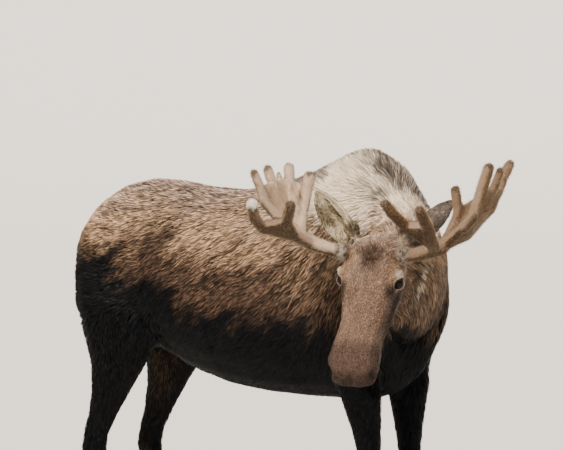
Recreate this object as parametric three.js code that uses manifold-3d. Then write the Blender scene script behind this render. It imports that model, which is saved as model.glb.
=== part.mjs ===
// A bull moose in velvet, life size: it stands on four hooves with its neck lowered and its head turned to its right.
// Millimetres, +Z up. The animal faces -Y, so +X is its left. The origin is on the floor, under the middle of the
// model's box.
import * as THREE from "three";
import { ConvexGeometry } from "three/addons/geometries/ConvexGeometry.js";
import { mergeVertices } from "three/addons/utils/BufferGeometryUtils.js";
import Module from "manifold-3d";

const wasm = await Module();
wasm.setup();

// ---- Driving dimensions ----------------------------------------------------------------------------------------------

const GAP = 0.5; // between neighbouring pieces
const HUMP_HEIGHT = 1940;
const BACK_HEIGHT = 1764; // lowest point of the back, behind the hump
const CROUP_HEIGHT = 1804;
const BRISKET_HEIGHT = 885;
const BARREL_HALF_WIDTH = 348;
const BREAST_AT = -768; // foremost and hindmost points of the trunk
const BUTTOCKS_AT = 1088;
const ELBOW_HEIGHT = 870; // the fore leg leaves the chest here, at its inner side
const GROIN_HEIGHT = 1010; // the hind leg leaves the belly here, at its inner side
const KNEE_HEIGHT = 575;
const HOCK_HEIGHT = 600;
const CORONET_HEIGHT = 78; // top of the hoof's horn
const EYE_RADIUS = 21;
const EYE_HALF_SPAN = 122; // from the head's middle to the centre of an eyeball
const EAR_LENGTH = 265;

// How far each hoof stands ahead of a square stance, and the height from which its leg swings.
const STEP = { fore_right: 60, fore_left: -10, hind_right: -20, hind_left: 70 };
const SWING_HEIGHT = 1300;

// The head hangs from the end of the neck. Its own frame has its origin midway between the eyes, with -Y along the nose,
// +X to its left and +Z out of the forehead. The antlers and ears are laid out in the same frame before it pitches down,
// so there +Z is nearly upright.
const HEAD_PLACE = new THREE.Vector3(-656, -845, 1423);
const HEAD_TURN = -74; // degrees about Z, to the animal's right
const HEAD_PITCH = 42; // degrees, nose down
const HEAD_ROLL = 2.5; // degrees, left side down

const degrees = THREE.MathUtils.degToRad;
const vector = (x, y, z) => new THREE.Vector3(x, y, z);
const UP = vector(0, 0, 1);

function headFrame(pitch) {
  return new THREE.Matrix4()
    .makeTranslation(HEAD_PLACE)
    .multiply(new THREE.Matrix4().makeRotationZ(degrees(HEAD_TURN)))
    .multiply(new THREE.Matrix4().makeRotationY(degrees(HEAD_ROLL)))
    .multiply(new THREE.Matrix4().makeRotationX(degrees(pitch)));
}
const HEAD = headFrame(HEAD_PITCH);
const CROWN = headFrame(0);
const BODY = new THREE.Matrix4();

// ---- Closed solids from rings of points ------------------------------------------------------------------------------

const table = (fields, rows) =>
  rows.map((row) => Object.fromEntries(fields.map((field, i) => [field, row[i]])));

// One closed section: a superellipse with its own height above and below its widest line, and its own fullness there. A
// fullness of 2 is an ellipse, less is a ridge and more is boxy.
function section({ origin, left, up, half, rise = half, drop = rise, ridge = 2, keel = 2 }, sides) {
  return Array.from({ length: sides }, (_, i) => {
    const angle = (2 * Math.PI * i) / sides;
    const c = Math.cos(angle);
    const s = Math.sin(angle);
    const power = 2 / (s > 0 ? ridge : keel);
    const across = half * Math.sign(c) * Math.abs(c) ** power;
    const along = (s > 0 ? rise : -drop) * Math.abs(s) ** power;
    return origin.clone().addScaledVector(left, across).addScaledVector(up, along);
  });
}

// A closed skin over rings of equally many points, with a fan over each end.
function skin(rings) {
  const sides = rings[0].length;
  const points = rings.flat();
  const index = [];
  for (let r = 0; r + 1 < rings.length; r++)
    for (let i = 0; i < sides; i++) {
      const [a, b] = [r * sides + i, r * sides + ((i + 1) % sides)];
      index.push(a, b, b + sides, a, b + sides, a + sides);
    }
  for (const [ring, offset, flip] of [
    [rings[0], 0, true],
    [rings[rings.length - 1], (rings.length - 1) * sides, false],
  ]) {
    points.push(ring.reduce((sum, point) => sum.add(point), vector(0, 0, 0)).divideScalar(sides));
    for (let i = 0; i < sides; i++) {
      const pair = [offset + i, offset + ((i + 1) % sides)];
      index.push(points.length - 1, ...(flip ? pair.reverse() : pair));
    }
  }
  return new THREE.BufferGeometry().setFromPoints(points).setIndex(index);
}

// A three.js geometry, moved by a matrix, as a solid for joins and cuts.
function solid(geometry, matrix = BODY) {
  const bare = new THREE.BufferGeometry().setAttribute("position", geometry.getAttribute("position").clone());
  bare.setIndex(geometry.index);
  const merged = mergeVertices(bare.applyMatrix4(matrix), 1e-3);
  const make = (triVerts) =>
    new wasm.Manifold(new wasm.Mesh({ numProp: 3, vertProperties: merged.attributes.position.array, triVerts }));
  const made = make(new Uint32Array(merged.index.array));
  return made.volume() > 0 ? made : make(new Uint32Array(merged.index.array).reverse());
}

const join = (...solids) => solids.reduce((whole, piece) => whole.add(piece));

// A solid through one section per row, each standing at its own place.
function stack(rows, place, left, up, sides, matrix) {
  const rings = rows.map((row) => section({ ...row, origin: place(row), left, up }, sides));
  return solid(skin(rings), matrix);
}

// Everything on the side of a plane that its normal points to, from a small distance beyond it.
function beyond(point, normal, distance = GAP / 2) {
  const size = 6000;
  const box = new THREE.BoxGeometry(size, size, size).translate(0, 0, size / 2 + distance);
  const turn = new THREE.Quaternion().setFromUnitVectors(UP, normal.clone().normalize());
  return solid(box, new THREE.Matrix4().compose(point, turn, vector(1, 1, 1)));
}

// A box between two corners in a frame of its own, grown by a distance on every side.
function block(low, high, grow, matrix = BODY) {
  const size = vector(...high).sub(vector(...low)).addScalar(2 * grow);
  const middle = vector(...low).add(vector(...high)).divideScalar(2);
  return solid(new THREE.BoxGeometry(...size).translate(...middle), matrix);
}

function ball(centre, radius, matrix, detail = 10) {
  return solid(new THREE.SphereGeometry(radius, detail, detail / 2).translate(...centre), matrix);
}

// Parts a limb at a plane into the stump that stays on the body and the piece beyond it.
function splice(limb, point, normal) {
  return [limb.intersect(beyond(point, normal.clone().negate())), limb.intersect(beyond(point, normal))];
}

// ---- Trunk, tail and neck --------------------------------------------------------------------------------------------

// From the breast to the buttocks: the back line, the belly line, and the half width with its height.
const TRUNK = table(
  ["y", "top", "bottom", "half", "widest", "ridge", "keel"],
  [
    [BREAST_AT, 1370, 1225, 30, 1290, 2.0, 1.6],
    [-735, 1520, 1145, 92, 1300, 2.0, 1.4],
    [-650, 1735, 1005, 206, 1310, 1.9, 1.3],
    [-545, 1880, 930, 264, 1300, 1.7, 1.5],
    [-430, HUMP_HEIGHT - 4, BRISKET_HEIGHT + 8, 292, 1290, 1.6, 1.9],
    [-365, HUMP_HEIGHT, BRISKET_HEIGHT + 2, 302, 1290, 1.62, 2.1],
    [-290, 1918, BRISKET_HEIGHT, 312, 1290, 1.65, 2.2],
    [-130, 1850, BRISKET_HEIGHT, 332, 1290, 1.8, 2.3],
    [60, 1788, BRISKET_HEIGHT + 8, BARREL_HALF_WIDTH, 1290, 1.95, 2.3],
    [250, BACK_HEIGHT, 915, BARREL_HALF_WIDTH, 1300, 2.05, 2.2],
    [430, 1772, 960, 335, 1330, 2.05, 2.1],
    [590, 1796, 1020, 308, 1370, 1.95, 2.0],
    [730, CROUP_HEIGHT, 1075, 292, 1420, 1.85, 2.0],
    [870, 1778, 1120, 276, 1440, 1.85, 2.0],
    [980, 1714, 1175, 246, 1435, 1.9, 2.0],
    [1050, 1636, 1250, 192, 1430, 2.0, 2.0],
    [BUTTOCKS_AT, 1538, 1340, 104, 1425, 2.0, 2.0],
  ],
);

const trunkSolid = () =>
  stack(
    TRUNK.map((row) => ({ ...row, rise: row.top - row.widest, drop: row.widest - row.bottom })),
    ({ y, widest }) => vector(0, y, widest),
    vector(1, 0, 0),
    UP,
    20,
  );

const TAIL = table(
  ["z", "y", "half", "rise", "drop"],
  [
    [1660, 1010, 30, 40, 40],
    [1630, 1052, 42, 30, 30],
    [1570, 1092, 38, 26, 26],
    [1510, 1108, 28, 20, 20],
    [1470, 1113, 16, 12, 12],
    [1455, 1113, 5, 4, 4],
  ],
);

const tailSolid = () =>
  stack(TAIL, ({ y, z }) => vector(0, y, z), vector(1, 0, 0), vector(0, -1, 0), 8);

// The neck leaves the withers forwards and bends to the right, so that the head looks to the side.
const NECK = table(
  ["x", "y", "z", "half", "rise", "drop", "ridge", "keel"],
  [
    [10, -330, 1450, 190, 400, 420, 1.6, 2.0],
    [-5, -480, 1440, 200, 415, 400, 1.6, 1.8],
    [-50, -590, 1445, 192, 365, 345, 1.65, 1.8],
    [-140, -670, 1455, 178, 300, 300, 1.75, 1.9],
    [-250, -730, 1468, 163, 248, 260, 1.85, 2.0],
    [-362, -773, 1480, 148, 205, 215, 1.95, 2.0],
    [-460, -800, 1480, 134, 160, 170, 2.0, 2.0],
    [-540, -815, 1460, 112, 120, 120, 2.0, 2.0],
  ],
);

function neckSolid() {
  const rows = NECK.map((row) => ({ ...row, origin: vector(row.x, row.y, row.z) }));
  const rings = rows.map((row, i) => {
    const before = rows[Math.max(i - 1, 0)].origin;
    const after = rows[Math.min(i + 1, rows.length - 1)].origin;
    const ahead = after.clone().sub(before).normalize();
    const left = UP.clone().cross(ahead).normalize();
    return section({ ...row, left, up: ahead.clone().cross(left) }, 20);
  });
  return solid(skin(rings));
}

// ---- Head ------------------------------------------------------------------------------------------------------------

// Forward of the eyes: how far the nose is swung to the left, the line of forehead and nose, the line of throat and
// jaw, and the half width with its height.
const SKULL = table(
  ["ahead", "aside", "top", "bottom", "half", "widest", "ridge", "keel"],
  [
    [-252, 0, 22, -60, 64, -20, 2.0, 2.0],
    [-228, 0, 70, -125, 104, -15, 2.2, 2.0],
    [-165, 0, 90, -172, 122, 5, 2.4, 2.2],
    [-95, 0, 86, -186, 127, 18, 2.5, 2.3],
    [-35, 0, 79, -188, 129, 14, 2.5, 2.3],
    [20, 2, 72, -180, 124, 2, 2.4, 2.3],
    [75, 6, 63, -166, 110, -12, 2.3, 2.4],
    [135, 12, 52, -152, 98, -22, 2.2, 2.6],
    [200, 18, 44, -140, 91, -30, 2.2, 2.7],
    [265, 24, 42, -134, 91, -34, 2.3, 2.7],
    [325, 29, 42, -134, 97, -36, 2.4, 2.6],
    [380, 33, 34, -138, 101, -42, 2.5, 2.5],
    [425, 35, 12, -138, 98, -54, 2.6, 2.5],
    [456, 36, -16, -130, 82, -68, 2.5, 2.4],
    [474, 36, -46, -110, 51, -78, 2.2, 2.2],
  ],
);

const skullSolid = () =>
  stack(
    SKULL.map((row) => ({ ...row, rise: row.top - row.widest, drop: row.widest - row.bottom })),
    ({ ahead, aside, widest }) => vector(aside, -ahead, widest),
    vector(1, 0, 0),
    UP,
    16,
    HEAD,
  );

const eyeCentre = (side) => vector(side * EYE_HALF_SPAN, 0, 6);
const browSolid = (side) => ball(vector(side * 106, 20, 28), 36, HEAD, 8);

// An ear is a leaf rolled round its own length: each ring runs out along its back and returns along its hollow side.
const EAR = table(
  ["run", "half", "depth", "roll"],
  [
    [-0.22, 26, 26, 200],
    [0.03, 36, 34, 190],
    [0.2, 52, 40, 165],
    [0.42, 66, 40, 140],
    [0.62, 67, 32, 120],
    [0.8, 56, 22, 105],
    [0.93, 34, 10, 90],
    [1.0, 12, 3, 80],
  ],
);
const EAR_THICKNESS = 9;

function earSolid(base, tip, facing) {
  const ahead = tip.clone().sub(base).normalize();
  const across = ahead.clone().cross(facing).normalize();
  const outward = across.clone().cross(ahead).normalize();
  const steps = 5;
  const rings = EAR.map(({ run, half, depth, roll }) => {
    const origin = base.clone().addScaledVector(ahead, run * EAR_LENGTH);
    const rim = Math.cos(degrees(roll) / 2);
    const arc = (radius, thick) =>
      Array.from({ length: steps }, (_, i) => {
        const angle = (degrees(roll) / 2) * ((2 * i) / (steps - 1) - 1);
        const x = radius * Math.sin(angle);
        const z = thick - (depth * (Math.cos(angle) - rim)) / (1 - rim);
        return origin.clone().addScaledVector(across, x).addScaledVector(outward, z);
      });
    return [...arc(half, 0), ...arc(half * 0.86, Math.min(EAR_THICKNESS, half * 0.7)).reverse()];
  });
  return solid(skin(rings), CROWN);
}

// The bell, a short flap of skin and hair, hangs from the throat.
const BELL = table(
  ["z", "half", "rise", "drop"],
  [
    [1400, 30, 66, 50],
    [1340, 28, 62, 48],
    [1280, 24, 50, 38],
    [1200, 22, 40, 34],
    [1140, 18, 28, 22],
    [1105, 10, 14, 10],
    [1095, 4, 5, 4],
  ],
);

function bellSolid() {
  const throat = vector(-6, 112, 0).applyMatrix4(CROWN);
  const ahead = vector(0, -1, 0).applyAxisAngle(UP, degrees(HEAD_TURN));
  const place = ({ z }) => throat.clone().setZ(z).addScaledVector(ahead, (1340 - z) * 0.06);
  return stack(BELL, place, UP.clone().cross(ahead), ahead, 8);
}

// ---- Legs ------------------------------------------------------------------------------------------------------------

// Level sections of a leg from the shoulder or hip down to the coronet: where its middle stands, how far it reaches
// forwards and back from there, and its half thickness.
const LEG_FIELDS = ["z", "x", "y", "rise", "drop", "half"];
const FORELEG = table(LEG_FIELDS, [
  [1560, 200, -430, 70, 80, 40],
  [1460, 208, -450, 150, 150, 72],
  [1300, 212, -480, 160, 170, 84],
  [1150, 208, -475, 118, 165, 88],
  [1020, 200, -455, 96, 135, 82],
  [900, 188, -460, 92, 96, 72],
  [780, 178, -470, 72, 70, 57],
  [670, 172, -478, 56, 54, 47],
  [600, 168, -484, 56, 50, 48],
  [535, 166, -484, 50, 46, 45],
  [470, 165, -480, 38, 40, 37],
  [330, 165, -477, 35, 40, 33],
  [220, 165, -478, 38, 42, 36],
  [165, 165, -482, 44, 48, 42],
  [115, 165, -496, 42, 44, 41],
  [CORONET_HEIGHT + GAP / 2, 165, -506, 48, 47, 45],
]);
const HINDLEG = table(LEG_FIELDS, [
  [1640, 160, 800, 90, 100, 40],
  [1540, 178, 800, 190, 190, 82],
  [1400, 186, 810, 240, 240, 102],
  [1260, 190, 805, 248, 238, 108],
  [1120, 188, 785, 205, 208, 98],
  [1000, 184, 805, 148, 150, 82],
  [880, 178, 850, 106, 105, 64],
  [770, 174, 896, 76, 78, 50],
  [680, 170, 930, 58, 76, 43],
  [615, 168, 943, 56, 76, 44],
  [550, 166, 940, 48, 58, 42],
  [450, 165, 926, 38, 44, 36],
  [300, 165, 906, 36, 41, 33],
  [165, 165, 893, 45, 49, 43],
  [115, 165, 880, 43, 45, 41],
  [CORONET_HEIGHT + GAP / 2, 165, 870, 48, 47, 45],
]);

const LEGS = [
  { name: "fore_right", side: -1, rows: FORELEG },
  { name: "fore_left", side: 1, rows: FORELEG },
  { name: "hind_right", side: -1, rows: HINDLEG },
  { name: "hind_left", side: 1, rows: HINDLEG },
];

// Where a leg's middle stands at a height, from its square stance and its step.
function legPlace({ name, side }, { x, y, z }) {
  const swing = THREE.MathUtils.clamp(1 - z / SWING_HEIGHT, 0, 1);
  return vector(side * x, y - STEP[name] * swing, z);
}

const LEFT = vector(1, 0, 0);
const AHEAD = vector(0, -1, 0);
const legSolid = (leg) => stack(leg.rows, (row) => legPlace(leg, row), LEFT, AHEAD, 10);

// Two small claws behind the pastern.
const CLAW = table(
  ["z", "back", "half"],
  [
    [155, 26, 17],
    [120, 50, 17],
    [92, 62, 12],
    [80, 64, 4],
  ],
);

function dewclaws(leg) {
  const pastern = leg.rows[leg.rows.length - 2];
  const claw = (inner) =>
    stack(CLAW, ({ z, back }) => legPlace(leg, { ...pastern, z }).add(vector(inner * 25, back, 0)), LEFT, AHEAD, 5);
  return join(claw(-1), claw(1));
}

// A cloven hoof: two pointed toes side by side, joined at the heel, flat underneath.
const TOE = table(
  ["z", "rise", "drop", "half"],
  [
    [0, 106, 66, 29],
    [14, 103, 68, 31],
    [CORONET_HEIGHT - GAP / 2, 50, 50, 25],
  ],
);
const HEEL = table(
  ["z", "rise", "drop", "half"],
  [
    [16, -2, 60, 26],
    [CORONET_HEIGHT - GAP / 2, 24, 46, 26],
  ],
);

function hoofSolid(leg) {
  const middle = legPlace(leg, { ...leg.rows[leg.rows.length - 1], z: 0 }).add(vector(0, -10, 0));
  const horn = (rows, across, ridge) =>
    stack(
      rows.map((row) => ({ ...row, ridge, keel: 2.4 })),
      ({ z }) => middle.clone().add(vector(across, 0, z)),
      LEFT,
      AHEAD,
      8,
    );
  return join(horn(TOE, -32, 1.5), horn(TOE, 32, 1.5), horn(HEEL, 0, 2));
}

// ---- Antlers ---------------------------------------------------------------------------------------------------------

// A round branch through the given points [out, back, up, radius], closed by a round tip.
function branch(points, sides) {
  const rows = points.map(([x, y, z, half]) => ({ x, y, z, half }));
  const end = rows[rows.length - 1];
  const before = rows[rows.length - 2];
  const heading = vector(end.x - before.x, end.y - before.y, end.z - before.z).normalize();
  for (const share of [0.5, 0.9]) {
    const tip = vector(end.x, end.y, end.z).addScaledVector(heading, end.half * share);
    rows.push({ x: tip.x, y: tip.y, z: tip.z, half: end.half * Math.sqrt(1 - share * share) });
  }
  const spine = rows.map(({ x, y, z }) => vector(x, y, z));
  const left = vector(0.3, 1, 0.2);
  const rings = rows.map(({ half }, i) => {
    const ahead = spine[Math.min(i + 1, spine.length - 1)].clone().sub(spine[Math.max(i - 1, 0)]).normalize();
    left.addScaledVector(ahead, -left.dot(ahead)).normalize();
    return section({ origin: spine[i], left: left.clone(), up: ahead.clone().cross(left), half }, sides);
  });
  return solid(skin(rings), CROWN);
}

// A plate between round corners, each given as [out, back, up, radius].
function web(corners) {
  const points = [];
  for (const [x, y, z, radius] of corners) {
    const round = new THREE.OctahedronGeometry(radius).attributes.position;
    for (let i = 0; i < round.count; i++) points.push(vector(x, y, z).add(vector().fromBufferAttribute(round, i)));
  }
  return solid(mergeVertices(new ConvexGeometry(points).deleteAttribute("normal"), 1e-3), CROWN);
}

const BURR = [114, 26, 118];
const BEAM = [
  [66, 38, 104, 30],
  [106, 28, 117, 30],
  [118, 25, 118, 39],
  [130, 22, 119, 29],
  [175, 13, 125, 27],
  [235, 0, 141, 29],
  [292, -8, 163, 31],
];
const BROW = [
  [262, -14, 152, 25],
  [290, -120, 182, 24],
];

// What differs between the two antlers. Each tine is a row of [out, back, up, radius], from its root to its tip.
const ANTLERS = {
  right: {
    inner: [
      [298, -200, 195, 22],
      [250, -320, 244, 21],
      [212, -395, 292, 20],
      [198, -425, 316, 20],
    ],
    outer: [
      [308, -230, 200, 24],
      [346, -330, 216, 22],
      [352, -410, 256, 21],
      [342, -470, 316, 20],
    ],
    palm: [
      [[385, -45, 235, 20], [438, -62, 300, 20], [458, -62, 352, 20], [489, -58, 414, 19]],
      [[440, 70, 310, 18], [464, 96, 362, 21], [488, 97, 424, 21]],
      [[445, 150, 320, 13], [469, 188, 368, 13], [479, 200, 403, 12]],
      [[425, 190, 300, 18], [441, 228, 372, 22], [468, 288, 428, 22]],
      [[322, 85, 270, 18], [337, 138, 345, 25], [328, 148, 402, 26]],
    ],
  },
  left: {
    inner: [
      [298, -190, 196, 22],
      [238, -300, 252, 21],
      [207, -400, 310, 20],
      [192, -432, 342, 20],
    ],
    outer: [
      [308, -230, 205, 24],
      [330, -320, 256, 22],
      [338, -400, 292, 21],
      [341, -462, 326, 20],
    ],
    palm: [
      [[385, -45, 235, 20], [438, -62, 300, 22], [460, -60, 390, 24], [487, -57, 486, 24]],
      [[440, 70, 310, 18], [462, 96, 395, 19], [488, 97, 470, 18]],
      [[445, 150, 320, 13], [466, 188, 385, 13], [478, 200, 432, 12]],
      [[425, 190, 300, 20], [441, 240, 400, 22], [468, 290, 490, 22]],
      [[316, 60, 240, 20], [322, 98, 305, 21], [302, 110, 384, 21]],
    ],
  },
};

// The palm is a shallow cup: plates run from its heel on the beam and from its floor out to the tines on its rim.
const PALM_HEEL = [300, -6, 170, 26];
const PALM_FLOOR = [372, 78, 205, 17];
const PALM_HALF_THICKNESS = 14;

function antler(side, { inner, outer, palm }) {
  const placed = (points) => points.map(([out, ...rest]) => [side * out, ...rest]);
  const rod = (points, sides = 6) => branch(placed(points), sides);
  const plate = (...corners) => web(placed(corners));
  const thin = ([x, y, z]) => [x, y, z, PALM_HALF_THICKNESS];
  const rim = palm.map((tine) => thin(tine[tine.length - 2]));
  const cup = [
    plate(PALM_HEEL, PALM_FLOOR, palm[0][1]),
    plate(PALM_FLOOR, palm[0][1], rim[0]),
    plate(PALM_HEEL, PALM_FLOOR, rim[4]),
    plate(PALM_FLOOR, thin(palm[3][0]), rim[3]),
    ...rim.slice(1).map((edge, i) => plate(thin(PALM_FLOOR), rim[i], edge)),
  ];
  const brow = join(rod([...BROW, ...outer], 7), rod(inner), plate(BROW[1], inner[1], outer[1]));
  return { beam: rod(BEAM, 9), fork: join(brow, ...cup, ...palm.map((tine) => rod(tine, 5))) };
}

// ---- Assembly --------------------------------------------------------------------------------------------------------

const COLOURS = {
  coat: 0x5a4636,
  legs: 0x2f2822,
  face: 0x6b5143,
  velvet: 0x7a5c40,
  horn: 0x1d1916,
  eye: 0x140d09,
};

const moose = new THREE.Group();

function add(name, made, colour, roughness = 0.9) {
  const { numProp, vertProperties, triVerts } = made.getMesh();
  const corners = new THREE.InterleavedBuffer(vertProperties, numProp);
  const position = new Float32Array((3 * vertProperties.length) / numProp);
  for (let i = 0; i < corners.count; i++) position.set(corners.array.subarray(i * numProp, i * numProp + 3), 3 * i);
  const geometry = new THREE.BufferGeometry();
  geometry.setAttribute("position", new THREE.BufferAttribute(position, 3));
  geometry.setIndex(new THREE.BufferAttribute(triVerts, 1));
  geometry.computeVertexNormals();
  const material = new THREE.MeshStandardMaterial({ color: COLOURS[colour], roughness, metalness: 0 });
  const mesh = new THREE.Mesh(geometry, material);
  mesh.name = name;
  moose.add(mesh);
}

// Ears, bell and antlers are parted at a plane just off the head; their stumps stay on it.
let flesh = join(trunkSolid(), tailSolid(), neckSolid(), skullSolid(), browSolid(-1), browSolid(1));
for (const leg of LEGS) flesh = join(flesh, legSolid(leg), dewclaws(leg));

for (const [name, side, tip, facing] of [
  ["right", -1, vector(-293, 128, 351), vector(0.1, -0.97, 0)],
  ["left", 1, vector(305, 140, 362), vector(0.45, 0.85, -0.2)],
]) {
  const base = vector(side * 118, 82, 150);
  const along = tip.clone().sub(base).normalize();
  const [stump, ear] = splice(
    earSolid(base, tip, facing),
    base.clone().addScaledVector(along, 0.06 * EAR_LENGTH).applyMatrix4(CROWN),
    along.clone().transformDirection(CROWN),
  );
  flesh = join(flesh, stump);
  add(`ear_${name}`, ear, "coat");

  const { beam, fork } = antler(side, ANTLERS[name]);
  const parting = (point, normal) => [
    vector(side * point[0], point[1], point[2]).applyMatrix4(CROWN),
    vector(side * normal[0], normal[1], normal[2]).transformDirection(CROWN),
  ];
  const burr = parting(BURR, [1, -0.2, 0.08]);
  const [pedicle, rest] = splice(beam, ...burr);
  const seat = ball(vector(side * BURR[0], BURR[1], BURR[2]), 52, CROWN).intersect(beyond(...burr, -GAP / 2));
  flesh = join(flesh, pedicle).subtract(seat);
  const [behind, brow] = splice(join(rest, fork), ...parting([290, -95, 172], [0, -1, -0.15]));
  const [stem, palm] = splice(behind, ...parting([282, 0, 165], [0.75, 0, 0.65]));
  add(`antler_${name}_beam`, stem, "velvet");
  add(`antler_${name}_brow`, brow, "velvet");
  add(`antler_${name}_palm`, palm, "velvet");
}

const [throat, bell] = splice(
  bellSolid(),
  vector(0, 112, -166).applyMatrix4(CROWN),
  vector(0, 0.5, -0.87).transformDirection(CROWN),
);
flesh = join(flesh, throat);
add("bell", bell, "coat");

for (const side of [-1, 1]) {
  flesh = flesh.subtract(ball(eyeCentre(side), EYE_RADIUS + GAP, HEAD));
  add(side < 0 ? "eye_right" : "eye_left", ball(eyeCentre(side), EYE_RADIUS, HEAD), "eye", 0.2);
}

// Takes a piece off the flesh: what lies in the region, which is given as a function of how far to grow it.
function take(name, colour, region) {
  add(name, flesh.intersect(region(-GAP / 2)), colour);
  flesh = flesh.subtract(region(GAP / 2));
}

const nape = vector(0, 225, 60).applyMatrix4(HEAD);
const faceward = vector(0, -0.88, 0.475).transformDirection(HEAD);
take("head", "face", (grow) =>
  block([-260, -620, -215], [260, 320, 220], grow, HEAD).intersect(beyond(nape, faceward, -grow)),
);

for (const leg of LEGS) {
  const { name, side } = leg;
  const fore = leg.rows === FORELEG;
  const [inner, outer] = side < 0 ? [-420, -20] : [20, 420];
  const [front, back] = fore ? [-800, -230] : [480, 1200];
  const slice = (low, high) => (grow) => block([inner, front, low], [outer, back, high], grow);
  add(`hoof_${name}`, hoofSolid(leg), "horn");
  take(`lower_leg_${name}`, "legs", slice(0, fore ? KNEE_HEIGHT : HOCK_HEIGHT));
  const inside = vector(side * 60, 0, fore ? ELBOW_HEIGHT : GROIN_HEIGHT);
  const falling = fore ? vector(side * 0.5, 0, -0.866) : vector(side * 0.7, 0, -0.7);
  take(`upper_leg_${name}`, "legs", (grow) => slice(0, 1400)(grow).intersect(beyond(inside, falling, -grow)));
}

take("tail", "coat", (grow) => block([-48, 1086, 1440], [48, 1200, 1650], grow));
const shoulder = vector(0, -605, 1850);
take("neck", "coat", (grow) =>
  block([-900, -1200, 1080], [330, -380, 2100], grow).intersect(beyond(shoulder, vector(-0.28, -0.9, 0.3), -grow)),
);
add("trunk", flesh, "coat");

const bounds = new THREE.Box3().setFromObject(moose);
const middle = bounds.getCenter(vector(0, 0, 0));
for (const mesh of moose.children) mesh.position.set(-middle.x, -middle.y, -bounds.min.z);

export default moose;
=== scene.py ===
"""The looks of a life-size bull moose in velvet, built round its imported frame.

The script works in metres, +Z up. Sizes and places inside the functions are in millimetres, in three
frames of their own. The body's has its origin on the floor below the shoulders, with -Y ahead and +X to
the animal's left. The head's has its origin midway between the eyes, with -Y along the nose and +Z out of
the forehead. The crown's is the head's before the nose dips, so that its +Z is nearly upright.
"""

import math
from itertools import product

import bpy
import numpy as np
from mathutils import Matrix, Vector
from mathutils.bvhtree import BVHTree
from mathutils.kdtree import KDTree


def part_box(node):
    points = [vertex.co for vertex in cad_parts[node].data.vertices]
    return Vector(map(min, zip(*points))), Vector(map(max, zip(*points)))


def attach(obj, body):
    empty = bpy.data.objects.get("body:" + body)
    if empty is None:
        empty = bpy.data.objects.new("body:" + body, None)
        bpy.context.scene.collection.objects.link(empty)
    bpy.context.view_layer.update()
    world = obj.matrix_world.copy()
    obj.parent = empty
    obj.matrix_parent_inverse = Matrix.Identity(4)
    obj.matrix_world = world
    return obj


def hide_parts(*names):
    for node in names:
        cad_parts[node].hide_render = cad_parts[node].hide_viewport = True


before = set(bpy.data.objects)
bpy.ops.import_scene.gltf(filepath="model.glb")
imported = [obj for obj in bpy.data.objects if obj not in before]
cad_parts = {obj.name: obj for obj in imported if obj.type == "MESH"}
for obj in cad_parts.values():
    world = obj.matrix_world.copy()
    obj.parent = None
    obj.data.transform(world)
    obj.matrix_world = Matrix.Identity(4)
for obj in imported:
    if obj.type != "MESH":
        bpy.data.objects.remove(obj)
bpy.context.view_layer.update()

MM = 0.001
RANDOM = np.random.default_rng(12)
SIDES = {"right": -1, "left": 1}
LEGS = ("fore_right", "fore_left", "hind_right", "hind_left")
LEG_NODES = [f"{part}_leg_{leg}" for leg in LEGS for part in ("upper", "lower")]
HOOF_NODES = [f"hoof_{leg}" for leg in LEGS]
BODY_NODES = ["trunk", "neck", "tail", "bell", "head"] + LEG_NODES
HEAD_NODES = ["head", "ear_right", "ear_left", "neck"]
FLESH_NODES = sorted(set(BODY_NODES + HEAD_NODES))


# ---- Places, read from the frame -----------------------------------------------------------------

BUTTOCKS_AT = 1088  # how far behind the body's origin the trunk ends
HEAD_PITCH = 42  # degrees, nose down
EYE_LIFT = 6  # how far the eyes' centres lie above the head's origin


def middle(node):
    """The middle of a CAD node's box."""
    low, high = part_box(node)
    return (low + high) / 2


def head_matrix(pitch):
    """The head's frame at a pitch in degrees, found from where the two eyes are."""
    right, left = middle("eye_right"), middle("eye_left")
    across = (left - right).normalized()
    turn = Matrix.Rotation(math.atan2(across.y, across.x), 4, "Z")
    roll = Matrix.Rotation(math.asin(-across.z), 4, "Y")
    pitched = turn @ roll @ Matrix.Rotation(math.radians(HEAD_PITCH), 4, "X")
    origin = (right + left) / 2 - pitched.to_3x3() @ Vector((0, 0, EYE_LIFT * MM))
    return Matrix.Translation(origin) @ turn @ roll @ Matrix.Rotation(math.radians(pitch), 4, "X")


HEAD = head_matrix(HEAD_PITCH)
CROWN = head_matrix(0)
SHOULDERS_X = (middle("hoof_fore_right").x + middle("hoof_fore_left").x) / 2
BODY = Matrix.Translation((SHOULDERS_X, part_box("trunk")[1].y - BUTTOCKS_AT * MM, 0))


def inside(matrix, points):
    """Points in metres as millimetres in a frame of their own."""
    turn = np.array(matrix.to_3x3())
    return (points - np.array(matrix.translation)) @ turn / MM


def outside(matrix, points):
    """Points in millimetres in a frame of their own, back in metres."""
    return np.asarray(points, float) * MM @ np.array(matrix.to_3x3()).T + np.array(matrix.translation)


def turned(matrix, directions):
    """Directions in a frame of their own, as directions in the world."""
    return np.asarray(directions, float) @ np.array(matrix.to_3x3()).T


def inside_turn(matrix, directions):
    """Directions in the world, as directions in a frame of their own."""
    return directions @ np.array(matrix.to_3x3())


# ---- Number work ---------------------------------------------------------------------------------


def unit(vectors):
    return vectors / np.maximum(np.linalg.norm(vectors, axis=-1, keepdims=True), 1e-12)


def step(low, high, values):
    """Rises smoothly from 0 at low to 1 at high."""
    share = np.clip((values - low) / (high - low), 0, 1)
    return share * share * (3 - 2 * share)


def spot(points, centre, reach):
    """A soft round patch: 1 at its centre, and fading out over its reach along each axis."""
    return np.exp(-(((points - np.array(centre)) / np.array(reach)) ** 2).sum(-1))


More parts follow.
